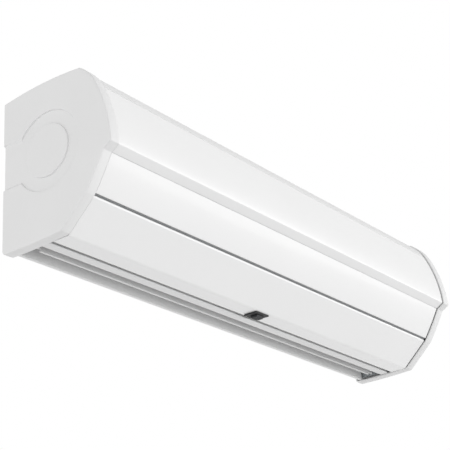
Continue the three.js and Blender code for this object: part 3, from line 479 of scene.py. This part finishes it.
def toned(tree, body, fac, low, high, start=0.3, end=0.7):
    """Base colour between two tones by a pattern."""
    ramp = node(tree, "ValToRGB", Fac=fac, stops=[(start, low), (end, high)])
    tree.links.new(ramp.outputs["Color"], body.inputs["Base Color"])


def grey(value):
    return (value, value, value, 1.0)


def shades(code, low, high=1.0):
    """Two tones of a colour, as shares of it."""
    return [(*(np.array([*code]) * share).tolist(), 1.0) for share in (low, high)]


def noise(tree, place, spacing, detail, **more):
    """Noise whose marks lie about that many metres apart."""
    return node(tree, "TexNoise", Vector=place, Scale=1 / spacing, Detail=detail, **more).outputs["Fac"]


def bumped(tree, body, height, strength, distance, **more):
    """Bump by a pattern, with its distance in metres."""
    bump = node(tree, "Bump", Strength=strength, Distance=distance, Height=height, **more)
    tree.links.new(bump.outputs["Normal"], body.inputs["Normal"])


def roughened(tree, body, value, low, high):
    """Roughness between two values by a pattern."""
    rough = node(tree, "MapRange", Value=value, To_Min=low, To_Max=high)
    tree.links.new(rough.outputs["Result"], body.inputs["Roughness"])


def moulded_abs(name, code, roughness=0.42):
    """ABS moulded in a spark-eroded tool: an even satin. Its 0.3 mm grain is drawn at 0.9 mm, to show."""
    material, tree, body, place = surface(name, Roughness=roughness, IOR=1.53, Specular_IOR_Level=0.5)
    grain = noise(tree, place, 0.0009, 2.0, Roughness=0.55)
    toned(tree, body, noise(tree, place, 0.09, 2.0), *shades(code, 0.975))
    bumped(tree, body, grain, 0.35, 0.00006)
    roughened(tree, body, grain, roughness - 0.06, roughness + 0.06)
    return material


def stove_enamel(name, code):
    """Stoved enamel on steel sheet: clear gloss over a faint orange peel of 3 mm and the sheet's waves."""
    coat = {"Coat_Weight": 0.35, "Coat_Roughness": 0.08}
    material, tree, body, place = surface(name, Roughness=0.24, IOR=1.5, **coat)
    wave = noise(tree, place, 0.16, 1.0)
    toned(tree, body, wave, *shades(code, 0.985))
    slow = node(tree, "Bump", Strength=0.5, Distance=0.0006, Height=wave)
    bumped(tree, body, noise(tree, place, 0.003, 1.0), 0.25, 0.00004, Normal=slow.outputs["Normal"])
    return material


def powder_coat(name, code):
    """Polyester powder coat on steel: satin, with a fine even texture of about 1 mm."""
    material, tree, body, place = surface(name, Roughness=0.4, IOR=1.5)
    toned(tree, body, noise(tree, place, 0.12, 1.0), *shades(code, 0.98))
    bumped(tree, body, noise(tree, place, 0.0012, 2.0), 0.3, 0.00008)
    return material


def galvanised_zinc(name, dark, pale):
    """Hot-dip galvanised sheet: zinc crystals of 9 mm, each a little lighter and glossier than the next."""
    material, tree, body, place = surface(name, Metallic=0.9, Roughness=0.42)
    warp = node(tree, "TexNoise", Vector=place, Scale=1 / 0.01, Detail=2.0)
    shift = [warp.outputs["Color"], (0.003,) * 3, place]
    bent = node(tree, "VectorMath", operation="MULTIPLY_ADD", sockets=shift)
    crystal = node(tree, "TexVoronoi", Vector=bent.outputs["Vector"], Scale=1 / 0.009)
    tone = node(tree, "SeparateColor", Color=crystal.outputs["Color"])
    toned(tree, body, tone.outputs["Red"], linear(dark), linear(pale), 0.0, 1.0)
    roughened(tree, body, tone.outputs["Green"], 0.32, 0.5)
    bumped(tree, body, warp.outputs["Fac"], 0.15, 0.00005)
    return material


def drawn_metal(name, dark, pale, roughness, spacing=0.0006):
    """Metal drawn or rolled along X: fine lines that run with it, drawn coarser so that they show."""
    material, tree, body, place = surface(name, Metallic=1.0, Roughness=roughness)
    along = node(tree, "Mapping", Vector=place, Scale=(0.02, 1, 1))
    streak = noise(tree, along.outputs["Vector"], spacing, 3.0)
    toned(tree, body, streak, linear(dark), linear(pale))
    roughened(tree, body, streak, roughness - 0.08, roughness + 0.1)
    bumped(tree, body, streak, 0.2, 0.00003)
    return material


def black_nylon(name, code):
    """Glass-filled nylon, moulded: near black, with an even grain of about 0.7 mm that breaks its sheen."""
    material, tree, body, place = surface(name, Roughness=0.5, IOR=1.53, Specular_IOR_Level=0.3)
    grain = noise(tree, place, 0.0007, 2.0)
    toned(tree, body, grain, *shades(linear(code)[:3], 0.8, 1.3))
    bumped(tree, body, grain, 0.4, 0.00008)
    return material


def vulcanised_rubber(name, code, spacing=0.0015, roughness=0.75):
    """Moulded rubber: matt, with the faint mottle of its mould and of bloom on its surface."""
    material, tree, body, place = surface(name, Roughness=roughness, IOR=1.52)
    mottle = noise(tree, place, spacing, 3.0)
    toned(tree, body, mottle, *shades(linear(code)[:3], 0.75, 1.25))
    bumped(tree, body, mottle, 0.4, 0.0001)
    return material


def finishes():
    """The materials by slot, made once."""
    have = {m["air_curtain_slot"]: m for m in bpy.data.materials if m.get("air_curtain_slot")}
    if have:
        return have
    shade = bpy.context.scene.air_curtain_colours
    have = {
        "moulded_white": moulded_abs("moulded_abs", shade.moulding),
        "gloss_white": stove_enamel("stove_enamel", shade.enamel),
        "painted_white": powder_coat("powder_coat", shade.coating),
        "galvanised_steel": galvanised_zinc("galvanised_zinc", "#9ea3a6", "#c3c7c9"),
        "bare_aluminium": drawn_metal("mill_aluminium", "#b4b6b8", "#d2d4d6", 0.36),
        "bright_steel": drawn_metal("bright_steel", "#8b8e91", "#b9bcbe", 0.3, spacing=0.0004),
        "black_rubber": vulcanised_rubber("nitrile_rubber", "#2a2b2d"),
        # The seal's grey foam is also painted shade: it darkens the seam's gap.
        "seal_rubber": vulcanised_rubber("epdm_foam", "#96989a", spacing=0.0012, roughness=0.85),
        "black_plastic": black_nylon("black_nylon", "#121314"),
        "grey_plastic": moulded_abs("grey_polycarbonate", linear("#a6a9ab")[:3], roughness=0.36),
    }
    for slot, material in have.items():
        material["air_curtain_slot"] = slot
    return have


# ---- pieces


RECESS_WALL = 0.12  # draft of the recess's wall over its depth
RECESS_EDGE = 1.0  # rounding of the recess's upper edge
CAP_WALL = 3.0
RIM_DRAFT = ((0.5, 0.3), (0.15, 0.45), (0, 0.8))  # out from the rim's inner edge, and how far drawn in there
ROUND = np.radians(np.linspace(0, 90, 6))


def recess_depth_at(beyond, depth):
    """How deep the face lies at a distance beyond the recess's edge: full inside, a drafted wall, then a
    quarter round."""
    angle = np.arccos(np.clip(1 - (beyond - RECESS_WALL) / RECESS_EDGE, 0, 1))
    curve = RECESS_EDGE * (1 - np.sin(angle))
    wall = depth - (depth - RECESS_EDGE) * np.clip(beyond / RECESS_WALL, 0, 1)
    return np.where(beyond <= 0, depth, np.where(beyond < RECESS_WALL, wall, curve))


def cap_mesh(lines, sizes):
    """A cap as a grid of rays by rings. Rays leave the rotor's axis, are level inside the band to the back
    edge, and fan out to the outline elsewhere. Rings are circles out to the recess, then blends from it to
    the outline."""
    centre, outer, inner = lines.rotor, lines.cap_outer, lines.cap_inner
    radius, band = sizes.recess_radius * 1000, sizes.band_width * 500
    disc, depth = sizes.disc_radius * 1000, sizes.recess_depth * 1000
    edge, wall = sizes.cap_edge * 1000, CAP_WALL
    steps = np.concatenate([[0], RECESS_WALL + RECESS_EDGE * (1 - np.cos(ROUND))])
    reach = steps[-1]
    level = np.concatenate([-(band + steps[::-1]), np.linspace(-band, band, 25)[1:-1], band + steps])
    back = np.column_stack([np.zeros(len(level)), centre[1] + level])
    top, foot = centre[1] + band + reach, centre[1] - band - reach
    rise = np.linspace(top, lines.back_top[1], 14)[1:-1]
    fall = np.linspace(lines.toe_rise, foot, 20)[1:-1]
    clear = np.hypot(*(lines.outline - lines.back_top).T)
    around = lines.outline[(clear < 1e-6) | (clear > edge + 0.6)]
    way = np.vstack([np.column_stack([0 * rise, rise]), around, np.column_stack([0 * fall, fall])])
    rim = np.vstack([back, way])
    polar = np.unwrap(np.arctan2(*(way - centre).T[::-1]))
    first, last = polar[0], polar[-1]
    start = math.asin((band + reach) / radius)
    turn = start + (polar - first) * (2 * math.pi - 2 * start) / (last - first)
    turn = np.concatenate([np.arcsin(level / radius), turn])
    spoke = spokes(turn)
    in_disc = np.concatenate([[0], np.linspace(8, disc - reach - 2, 5), disc + RECESS_WALL - steps[::-1]])
    floor = np.linspace(disc + RECESS_WALL, radius, 7)[1:]
    circles = np.concatenate([in_disc, floor, radius + steps[1:]])
    face = centre + circles[:, None, None] * spoke
    hem = offset(rim, edge, closed=True)
    share = np.linspace(0, 1, 12)[1:, None, None]
    face = np.concatenate([face, face[-1] * (1 - share) + hem * share])
    away = np.hypot(*(face - centre).transpose(2, 0, 1))
    strip = np.abs(face[..., 1] - centre[1]) - band
    strip = np.where(face[..., 0] > centre[0], strip, 1e3)
    sunk = recess_depth_at(np.minimum(away - radius, strip), depth)
    sunk = np.minimum(sunk, recess_depth_at(disc + RECESS_WALL - away, depth))
    rings = [placed(outer - sunk, face)]
    low = sunk[-1]
    for angle in ROUND[1:]:
        bent = offset(rim, edge * (1 - math.sin(angle)), closed=True)
        rings.append(placed(outer - low - edge * (1 - math.cos(angle)), bent)[None])
    inside = outer - depth - wall
    for x, inward in (*((inner + out, drawn) for out, drawn in RIM_DRAFT), (inner, wall), (inside, wall)):
        rings.append(placed(np.full(len(rim), x), offset(rim, inward, closed=True))[None])
    rings.append(placed(np.full(len(rim), inside), centre + 0 * rim)[None])
    grid = np.concatenate(rings)
    return grid.reshape(-1, 3), grid_faces(len(grid), len(rim), closed_columns=True)


class MakesPiece:
    """What every operator here shares: undo, and the lines worked out from the scene's settings."""
    bl_options = {"REGISTER", "UNDO"}

    def made(self, context):
        sizes = context.scene.air_curtain_sizes
        return Section(sizes), sizes


class AIRCURTAIN_OT_end_caps(MakesPiece, bpy.types.Operator):
    """Moulded end caps with a rounded rim, a keyhole recess and a flush disc"""
    bl_idname = "air_curtain.end_caps"
    bl_label = "End caps"

    def execute(self, context):
        both_sides(("cap", cap_mesh(*self.made(context)), "moulded_white", "end_cap", {"smooth": 35}))
        return {"FINISHED"}


class AIRCURTAIN_OT_intake_grille(MakesPiece, bpy.types.Operator):
    """Curved intake grille over the top, cut by rows of round-ended slots"""
    bl_idname = "air_curtain.intake_grille"
    bl_label = "Intake grille"

    def execute(self, context):
        lines, sizes = self.made(context)
        margin, rib, columns = 14.0, 14.0, 4
        back_gap, joint_gap, first_row, shoulder_margin = 10.3, 0.9, 34.3, 26
        end = lines.panel_end
        pitch, half_slot = sizes.slot_pitch * 1000, sizes.slot_opening * 500
        start = crossing(lines.face_top, back_gap)
        line = stretch(lines.face_top, start, lines.joint_run - joint_gap)
        column = (2 * (end - margin) - (columns - 1) * rib) / columns
        rows = np.arange(first_row, lines.shoulder_run - shoulder_margin, pitch)
        middles = -end + margin + column / 2 + np.arange(columns) * (column + rib)
        wide, half = (column + rib) / 2, column / 2 - half_slot
        holes = [(x, row - start, half, half_slot, wide, pitch / 2) for row in rows for x in middles]
        shape = pierced(line, lines.panel_ends, holes)
        piece("grille", shape, "moulded_white", ["intake_grille"], solid=2.4, bevel=0.5)
        return {"FINISHED"}


class AIRCURTAIN_OT_front_panels(MakesPiece, bpy.types.Operator):
    """Front cover with its stepped nose, the lower panel, and the two rails behind their joints"""
    bl_idname = "air_curtain.front_panels"
    bl_label = "Front panels"

    def execute(self, context):
        lines, _ = self.made(context)
        top, heel, flange, leg, rail_reach = lines.face_top, lines.heel_face, 11, 12, 13
        nose = rounded(top[-4], top[-1], heel, 2.0)
        face = np.vstack([stretch(top, lines.joint_run, runs(top)[-1] - 4), nose, heel])
        face = stretch(face, 0, runs(face)[-1] - 0.3)
        foot = lines.by_flange(flange, 0)
        bend = rounded(lines.lower_line[-3], lines.lower_line[-1], foot, 1.8)
        low = np.vstack([lines.lower_line[:-2], bend, foot])
        toward = unit(top[-1] - heel)
        angle = folded([heel + toward * leg, heel, at_run(lines.lower_face, [leg])[0]], 0.8)
        strip = stretch(top, lines.joint_run - rail_reach, lines.joint_run + rail_reach)
        for name, line, near, far, slot, node_name, bevel in (
                ("cover", face, 0, 2.0, "gloss_white", "front_cover", 0.5),
                ("panel_lower", low, 0, 1.6, "gloss_white", "lower_panel", 0.4),
                ("rail_step", angle, 2.3, 5.3, "bare_aluminium", "step_rail", 0.3),
                ("rail_top", strip, 2.7, 4.7, "bare_aluminium", "top_rail", 0.3)):
            shape = carried(closed_sheet(line, near, far), lines.panel_ends)
            piece(name, shape, slot, [node_name], bevel=bevel)
        return {"FINISHED"}


class AIRCURTAIN_OT_hatch(MakesPiece, bpy.types.Operator):
    """Service hatch with its hinge bead, the seam's seal whose grey is also painted shade, the hinge pins and
    the slide latch
    """
    bl_idname = "air_curtain.hatch"
    bl_label = "Service hatch"

    def execute(self, context):
        lines, _ = self.made(context)
        start, end = lines.panel_ends
        lip_height, bead, bore = 11, 3.5, 2.1
        rear = point(-lines.hatch_rear, 0)
        corner = rounded(lines.flap_start, lines.flap_foot, rear, 8, 10)
        lip = rounded(corner[-1], rear, rear + point(0, lip_height), 1.6)
        line = np.vstack([lines.flap_start, corner, lip, rear + point(0, lip_height)])
        flat = runs(line)[len(corner)] - corner[-1, 0]
        latch_hole = (-15.8, 13.8, flat - 111.2, flat - 91.8)
        shape = pierced(line, lines.panel_ends, openings=[latch_hole])
        piece("hatch", shape, "gloss_white", ["hatch_panel"], "hatch", solid=2.0, bevel=0.4)
        shape = turned(ring(bore, bead, start, end), lines.hinge, 40)
        piece("hatch_bead", shape, "gloss_white", [], "hatch", bevel=0.3)
        # The seam's seal: a foam strip whose grey also stands in for the seam's shadow gap as painted shade.
        seal = closed_sheet(np.array([lines.by_flange(3, -0.3), lines.by_flange(10.7, -0.3)]), -2.2, 0)
        piece("seal", carried(seal, lines.panel_ends), "seal_rubber", ["hatch_seal"], bevel=0.6)
        shank, head, head_start = 1.5, 2.5, lines.plate_inner + 1.8
        head_end = head_start + 2
        pin = [(0, end - 12), (shank, end - 12), (shank, head_start), (head, head_start), (head, head_end),
               (0, head_end)]
        both_sides(("pin", turned(pin, lines.hinge, 32), "bright_steel", "hinge_pin", {"bevel": 0.25}))
        refined("latch_body", "latch_base", "black_plastic", 0.3, "hatch")
        # The slide is moulded in a paler black nylon than the latch body.
        paler_nylon = black_nylon("worn_black_nylon", "#3b3c3e")
        refined("latch_slide", "latch_slider", "black_plastic", 0.3, "slider", paler_nylon)
        return {"FINISHED"}


class AIRCURTAIN_OT_duct(MakesPiece, bpy.types.Operator):
    """Front rail, front duct wall with its tongue, and the rear duct wall that spirals round the rotors"""
    bl_idname = "air_curtain.duct"
    bl_label = "Discharge duct"

    def execute(self, context):
        lines, sizes = self.made(context)
        front, slot, rail, wall = -lines.rail_front, -lines.slot_front, 1.8, 1.2
        lean = [point(front + 6, 12), point(front + 6, 4.2), point(front, 0)]
        edge = folded([*lean, point(slot, 0), lines.rail_lip], 1.8)
        flange = [lines.by_flange(9, 3.1), lines.by_flange(3.6, 3.1)]
        front_wall = folded([lines.duct_start, lines.tongue, lines.tongue + point(-7, -3), *flange], 1.4)
        share = np.linspace(0, 1, 61)
        turn, reach = np.radians(86 * share), sizes.rotor_radius * 1000 + 20 - 14 * share
        spiral = lines.rotor + reach[:, None] * spokes(turn)
        top = spiral[-1]
        lip = circle(top + point(0, 5), 5, 262, 96, 24)
        strip = [point(-13.3, top[1] + 22), point(-13.3, top[1] + 30)]
        rear_wall = np.vstack([point(-lines.slot_rear, 0), spiral, lip, strip])
        for name, section, node_name, bevel, smooth in (
                ("rail_front", closed_sheet(edge, 0, rail), "front_rail", 0.5, 40),
                ("duct_front", closed_sheet(front_wall, 0, wall), "cutoff_plate", 0.3, 40),
                ("duct_rear", closed_sheet(rear_wall, -wall, 0), "scroll_wall", 0.3, 50)):
            shape = carried(section, lines.panel_ends)
            piece(name, shape, "painted_white", [node_name], bevel=bevel, smooth=smooth)
        return {"FINISHED"}


class AIRCURTAIN_OT_vane(MakesPiece, bpy.types.Operator):
    """Air vane with its end pieces and their bushes"""
    bl_idname = "air_curtain.vane"
    bl_label = "Air vane"

    def upright(self, lines, bottom, top, thick=3.2):
        """A blade's section: a half round below, and a slimmer one above."""
        low = point(lines.vane[0], bottom + thick / 2)
        high = point(lines.vane[0], top - thick / 3)
        return np.vstack([circle(low, thick / 2, 180, 360, 16), circle(high, thick / 3, 0, 180, 16)])

    def execute(self, context):
        lines, _ = self.made(context)
        plate = lines.plate_inner
        blade_end = plate - 17
        blade = carried(self.upright(lines, 1.5, 39.5), [-blade_end, blade_end])
        piece("blade", blade, "painted_white", ["vane_blade"], "vane", bevel=0.5)
        start, shoulder, tip, boss, spindle = blade_end + 0.3, plate - 2, plate + 4.5, 4.6, 3
        tab = carried(self.upright(lines, 5.5, 38.5), [start, shoulder])
        axle = [(0, start), (boss, start), (boss, shoulder), (spindle, shoulder), (spindle, tip), (0, tip)]
        whole = together(tab, turned(axle, lines.vane, 48))
        bush = turned(flanged(3.4, 5.8, 7.8, plate - 1.5, plate - 0.3, plate + 4), lines.vane, 48)
        both_sides(("blade_end", whole, "moulded_white", "vane_end", {"body": "vane", "bevel": 0.3}),
                   ("bush", bush, "grey_plastic", "vane_bush", {"bevel": 0.25}))
        return {"FINISHED"}


class AIRCURTAIN_OT_rotors(MakesPiece, bpy.types.Operator):
    """Cross-flow rotors with forward-curved blades, and the rubber hubs that drive them"""
    bl_idname = "air_curtain.rotors"
    bl_label = "Rotors"

    def blade(self, lines, radius, turn):
        """A blade's section: its lead over the root grows with the square of the way out."""
        way = np.linspace(0, 1, 9)
        lead = np.radians(turn + 13 * way ** 2)
        out = (radius - 12 + 10.5 * way)[:, None]
        return closed_sheet(lines.rotor + out * spokes(lead), -0.6, 0.6)

    def execute(self, context):
        lines, sizes = self.made(context)
        radius, count = sizes.rotor_radius * 1000, sizes.blades
        start, end, disc, bore = 72.0, lines.plate_inner - 10, 2, 5.3
        turns = 360 * np.arange(count) / count
        blades = [carried(self.blade(lines, radius, turn), [start + 0.5, end - 0.5]) for turn in turns]
        middle, low, back, boss = (start + end) / 2, end - 12, end - disc, 9
        rings = [
            ring(14.3, radius, start, start + disc),
            [(bore, low), (bore, end), (radius, end), (radius, back), (boss, back), (boss, low)],
            ring(radius - 14, radius, middle - disc / 2, middle + disc / 2),
        ]
        cage = together(*blades, *(turned(section, lines.rotor, 72) for section in rings))
        hub = turned(flanged(bore, 14, 17, start - 5, start - 0.3, start + 9), lines.rotor, 56)
        both_sides(("cage", cage, "bare_aluminium", "rotor", {"body": "fan"}),
                   ("hub", hub, "black_rubber", "rotor_hub", {"body": "fan", "bevel": 0.8}))
        return {"FINISHED"}


class AIRCURTAIN_OT_drive(MakesPiece, bpy.types.Operator):
    """Motor, shafts, and bearings in their rubber mounts"""
    bl_idname = "air_curtain.drive"
    bl_label = "Drive"

    def execute(self, context):
        lines, _ = self.made(context)
        half = np.array([(5.4, 56), (13, 56), (13, 52), (36, 52), (44, 49), (47, 44), (47, 30), (46.2, 29.4),
                         (46.2, 27.6), (47, 27)])
        body = turned(np.vstack([[[5.4, -56]], half, (half * [1, -1])[::-1][:-1]]), lines.rotor, 96)
        piece("motor", body, "galvanised_steel", ["motor_body"], bevel=0.5, smooth=30)
        shaft = [(0, -80), (4.6, -80), (5, -79.6), (5, 79.6), (4.6, 80), (0, 80)]
        piece("shaft", turned(shaft, lines.rotor, 48), "bright_steel", ["motor_shaft"], "fan")
        plate = lines.plate_inner
        start, end = plate - 22, plate + 7.5
        stub = turned([(0, start), (5, start), (5, end - 0.5), (4.5, end), (0, end)], lines.rotor, 48)
        both_sides(("stub", stub, "bright_steel", "stub_shaft", {"body": "fan"}))
        low, high = plate - 4, plate + 4.5
        foot, head = low + 0.5, high - 0.5
        race = [(5.3, low), (5.3, high), (7.6, high), (7.8, head), (10.6, head), (10.8, high), (13, high),
                (13, low), (10.8, low), (10.6, foot), (7.8, foot), (7.6, low)]
        both_sides(("race", turned(race, lines.rotor, 64), "bright_steel", "bearing", {"bevel": 0.2}))
        seat = turned(flanged(13.3, 19, 23, plate - 3, plate - 0.3, plate + 3.5), lines.rotor, 64)
        both_sides(("seat", seat, "black_rubber", "bearing_mount", {"bevel": 0.5}))
        return {"FINISHED"}


class AIRCURTAIN_OT_electrics(MakesPiece, bpy.types.Operator):
    """Terminal block, capacitor and the grommet in the casing's back"""
    bl_idname = "air_curtain.electrics"
    bl_label = "Electrics"

    def execute(self, context):
        refined("terminals", "terminal_block", "grey_plastic", 0.4)
        low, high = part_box("capacitor")
        radius = (high.y - low.y) * 500
        start, end = low.x * 1000, high.x * 1000
        centre = point((low.y + high.y) * 500, (low.z + high.z) * 500 + HANG)
        crimp = radius - 0.6
        can = [(0, start), (radius - 1.2, start), (radius, start + 1.2), (radius, end - 4),
               (crimp, end - 3.5), (crimp, end - 2.5), (radius, end - 2), (radius - 0.8, end),
               (radius - 1.6, end - 0.8), (0, end - 0.8)]
        piece("motor_capacitor", turned(can, centre, 56), "grey_plastic", ["capacitor"])
        low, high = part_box("cable_grommet")
        centre = point((low.x + high.x) * 500, (low.z + high.z) * 500 + HANG)
        outside, inside, membrane, neck, flange, fit = -10.3, -11.8, 6, 11.7, 14.5, 0.3
        half = [(0, inside), (membrane, inside), (membrane, inside - 3), (flange, inside - 3),
                (flange, inside - fit), (neck, inside - fit), (neck, outside + fit), (flange, outside + fit),
                (flange, outside + 3), (membrane, outside + 3), (membrane, outside), (0, outside)]
        piece("grommet", turned(half, centre, 48, axis="Y"), "black_rubber", ["cable_grommet"], bevel=0.5)
        return {"FINISHED"}


class AIRCURTAIN_OT_sheet_metal(MakesPiece, bpy.types.Operator):
    """Brackets, plates, partitions, screws and the rear casing, from their solids with rounded edges"""
    bl_idname = "air_curtain.sheet_metal"
    bl_label = "Sheet metal"

    def execute(self, context):
        refined("casing_rear", "rear_casing", "painted_white", 0.4)
        refined("bracket", "wall_bracket", "galvanised_steel", 0.4)
        refined("hanger", "casing_hanger", "galvanised_steel", 0.3)
        refined("saddle", "motor_bracket", "galvanised_steel", 0.3)
        refined("tray", "control_box", "galvanised_steel", 0.3)
        for side in ("right", "left"):
            refined("plate_" + side, "end_plate_" + side, "galvanised_steel", 0.3)
            refined("divider_" + side, "partition_" + side, "painted_white", 0.3)
            for place in ("upper", "lower", "rear"):
                refined(f"screw_{place}_{side}", f"cap_screw_{place}_{side}", "bright_steel", 0.3)
        return {"FINISHED"}


# ---- stage


class AIRCURTAIN_OT_stage(MakesPiece, bpy.types.Operator):
    """Floor far below, even white light, and the camera"""
    bl_idname = "air_curtain.stage"
    bl_label = "Stage"

    def seen(self, tree):
        """One for rays from the camera, through glass and off gloss, and none for the rest."""
        path = node(tree, "LightPath").outputs
        rays = [path["Is Camera Ray"], path["Is Transmission Ray"]]
        through = node(tree, "Math", operation="MAXIMUM", use_clamp=True, sockets=rays)
        rays = [through.outputs[0], path["Is Glossy Ray"]]
        return node(tree, "Math", operation="MAXIMUM", use_clamp=True, sockets=rays).outputs[0]

    def floor(self):
        """A pale floor that shows from above only. It takes the object's shadow, and what sees it finds it
        lit up to the background's white."""
        mesh = bpy.data.meshes.new("floor")
        reach, down, glow = 1.6, -2.4, 0.7
        corners = [(-reach, -reach, down), (reach, -reach, down), (reach, reach, down), (-reach, reach, down)]
        mesh.from_pydata(corners, [], [[0, 1, 2, 3]])
        obj = linked("floor", mesh)
        material = bpy.data.materials.new("pale_floor")
        material.use_nodes = True
        tree = material.node_tree
        tree.nodes.clear()
        pale = node(tree, "BsdfDiffuse", Color=grey(0.8)).outputs[0]
        level = node(tree, "MapRange", Value=self.seen(tree), To_Min=0.0, To_Max=glow)
        light = node(tree, "Emission", Color=grey(1.0), Strength=level.outputs["Result"]).outputs[0]
        lit = node(tree, "AddShader", sockets=[pale, light]).outputs[0]
        clear = node(tree, "BsdfTransparent").outputs[0]
        under = node(tree, "NewGeometry").outputs["Backfacing"]
        mix = node(tree, "MixShader", sockets=[under, lit, clear]).outputs[0]
        node(tree, "OutputMaterial", Surface=mix)
        mesh.materials.append(material)

    def world(self, scene, strength, overhead):
        """White to the camera and in reflections. Its light is even up to the horizon and dimmer overhead."""
        scene.world = bpy.data.worlds.new("studio")
        scene.world.use_nodes = True
        tree = scene.world.node_tree
        tree.nodes.clear()
        place = node(tree, "TexCoord")
        height = node(tree, "SeparateXYZ", Vector=place.outputs["Generated"])
        fade = {"From_Max": 0.7, "To_Min": strength, "To_Max": overhead}
        light = node(tree, "MapRange", Value=height.outputs["Z"], **fade)
        level = node(tree, "MapRange", Value=self.seen(tree), To_Min=light.outputs["Result"], To_Max=1.0)
        sky = node(tree, "Background", Color=grey(1.0), Strength=level.outputs["Result"])
        node(tree, "OutputWorld", Surface=sky.outputs[0])

    def lamp(self, name, direction, strength, angle):
        """A wide sun lamp that shines along a direction."""
        data = bpy.data.lights.new(name, "SUN")
        data.energy, data.angle = strength, math.radians(angle)
        linked(name, data).rotation_euler = Vector(direction).to_track_quat("-Z", "Y").to_euler()

    def camera(self, scene):
        """A long lens, below the unit and to its left, turned a little about its axis."""
        data = bpy.data.cameras.new("photo_camera")
        data.sensor_width, data.lens = 36.0, 102.262
        data.clip_start, data.clip_end = 0.05, 50
        yaw, pitch, roll = (math.radians(a) for a in (53.53128, 23.39088, -3.355882))
        turn = Matrix.Rotation(-yaw, 4, "Z") @ Matrix.Rotation(math.pi / 2 + pitch, 4, "X")
        scene.camera = linked("photo_camera", data)
        place = Matrix.Translation((-1.710756, -1.310172, -0.935625))
        scene.camera.matrix_world = place @ turn @ Matrix.Rotation(roll, 4, "Z")

    def execute(self, context):
        scene = context.scene
        look = scene.air_curtain_colours
        self.floor()
        self.world(scene, look.ambient, look.overhead)
        self.lamp("front_lamp", (-0.66, 0.72, -0.15), look.front_light, 50)
        self.lamp("left_lamp", (1.0, 0.05, 0.0), look.left_light, 50)
        self.camera(scene)
        scene.view_settings.view_transform = "Standard"
        return {"FINISHED"}


# ---- settings and panel


def size(name, millimetres, description):
    return FloatProperty(name=name, description=description, default=millimetres / 1000, min=0.0001,
                         precision=4, subtype="DISTANCE", unit="LENGTH")


def brightness(name, value, description):
    return FloatProperty(name=name, description=description, default=value, min=0, max=10)


def tint(name, code, description):
    return FloatVectorProperty(name=name, description=description, default=linear(code)[:3], size=3, min=0,
                               max=1, subtype="COLOR")


class AirCurtainSizes(bpy.types.PropertyGroup):
    """The sizes that the new pieces follow; they start from the CAD model's"""
    length: size("Length", 1000, "Over both end caps")
    depth: size("Depth", 221.5, "Wall to the nose of the front cover")
    height: size("Height", 258.5, "Body's underside to the crest of the end caps")
    cap_width: size("Cap width", 19, "Width of an end cap's rim")
    cap_edge: size("Cap edge", 2.6, "Rounding between a cap's face and its rim")
    panel_inset: size("Panel inset", 2.5, "How far the long panels lie inside the caps' outline")
    recess_depth: size("Recess depth", 3.2, "Depth of the keyhole recess in a cap's face")
    recess_radius: size("Recess radius", 65, "Outer radius of the recess's ring")
    disc_radius: size("Disc radius", 43, "Radius of the flush disc in the ring")
    band_width: size("Band width", 76, "Width of the recess's band to the back edge")
    slot_pitch: size("Slot pitch", 9, "Between two rows of the intake grille")
    slot_opening: size("Slot opening", 5, "Width of a slot of the intake grille")
    rotor_radius: size("Rotor radius", 56, "Outer radius of the rotors")
    blades: IntProperty(name="Blades", description="Blades of each rotor", default=22, min=8, max=48)


class AirCurtainColours(bpy.types.PropertyGroup):
    """Colours of the outer finishes and the level of the light"""
    moulding: tint("Moulding", "#ebebeb", "End caps and grille")
    enamel: tint("Enamel", "#f5f5f5", "Front cover, lower panel and hatch")
    coating: tint("Coating", "#eaeaea", "Front rail, vane and rear casing")
    ambient: brightness("Ambient", 0.88, "Strength of the even light")
    overhead: brightness("Overhead", 0.42, "Strength of the light from straight above")
    front_light: brightness("Front light", 0.95, "Strength of the front lamp")
    left_light: brightness("Left light", 0.4, "Strength of the left lamp")


PIECES = (
    AIRCURTAIN_OT_end_caps, AIRCURTAIN_OT_intake_grille, AIRCURTAIN_OT_front_panels, AIRCURTAIN_OT_hatch,
    AIRCURTAIN_OT_duct, AIRCURTAIN_OT_vane, AIRCURTAIN_OT_rotors, AIRCURTAIN_OT_drive,
    AIRCURTAIN_OT_electrics, AIRCURTAIN_OT_sheet_metal, AIRCURTAIN_OT_stage,
)


class AIRCURTAIN_PT_pieces(bpy.types.Panel):
    """Lists the pieces and their settings"""
    bl_idname = "AIRCURTAIN_PT_pieces"
    bl_label = "Air Curtain"
    bl_space_type = "VIEW_3D"
    bl_region_type = "UI"
    bl_category = "Air Curtain"

    def draw(self, context):
        layout = self.layout
        for group in (context.scene.air_curtain_sizes, context.scene.air_curtain_colours):
            column = layout.column(align=True)
            for name in group.bl_rna.properties.keys():
                if name not in ("rna_type", "name"):
                    column.prop(group, name)
        column = layout.column(align=True)
        for operator in PIECES:
            column.operator(operator.bl_idname)


CLASSES = (AirCurtainSizes, AirCurtainColours, *PIECES, AIRCURTAIN_PT_pieces)


def register():
    for cls in CLASSES:
        bpy.utils.register_class(cls)
    bpy.types.Scene.air_curtain_sizes = PointerProperty(type=AirCurtainSizes)
    bpy.types.Scene.air_curtain_colours = PointerProperty(type=AirCurtainColours)


def unregister():
    del bpy.types.Scene.air_curtain_colours
    del bpy.types.Scene.air_curtain_sizes
    for cls in reversed(CLASSES):
        bpy.utils.unregister_class(cls)


def main():
    register()
    for operator in PIECES:
        group, name = operator.bl_idname.split(".")
        getattr(getattr(bpy.ops, group), name)()


if __name__ == "__main__":
    main()
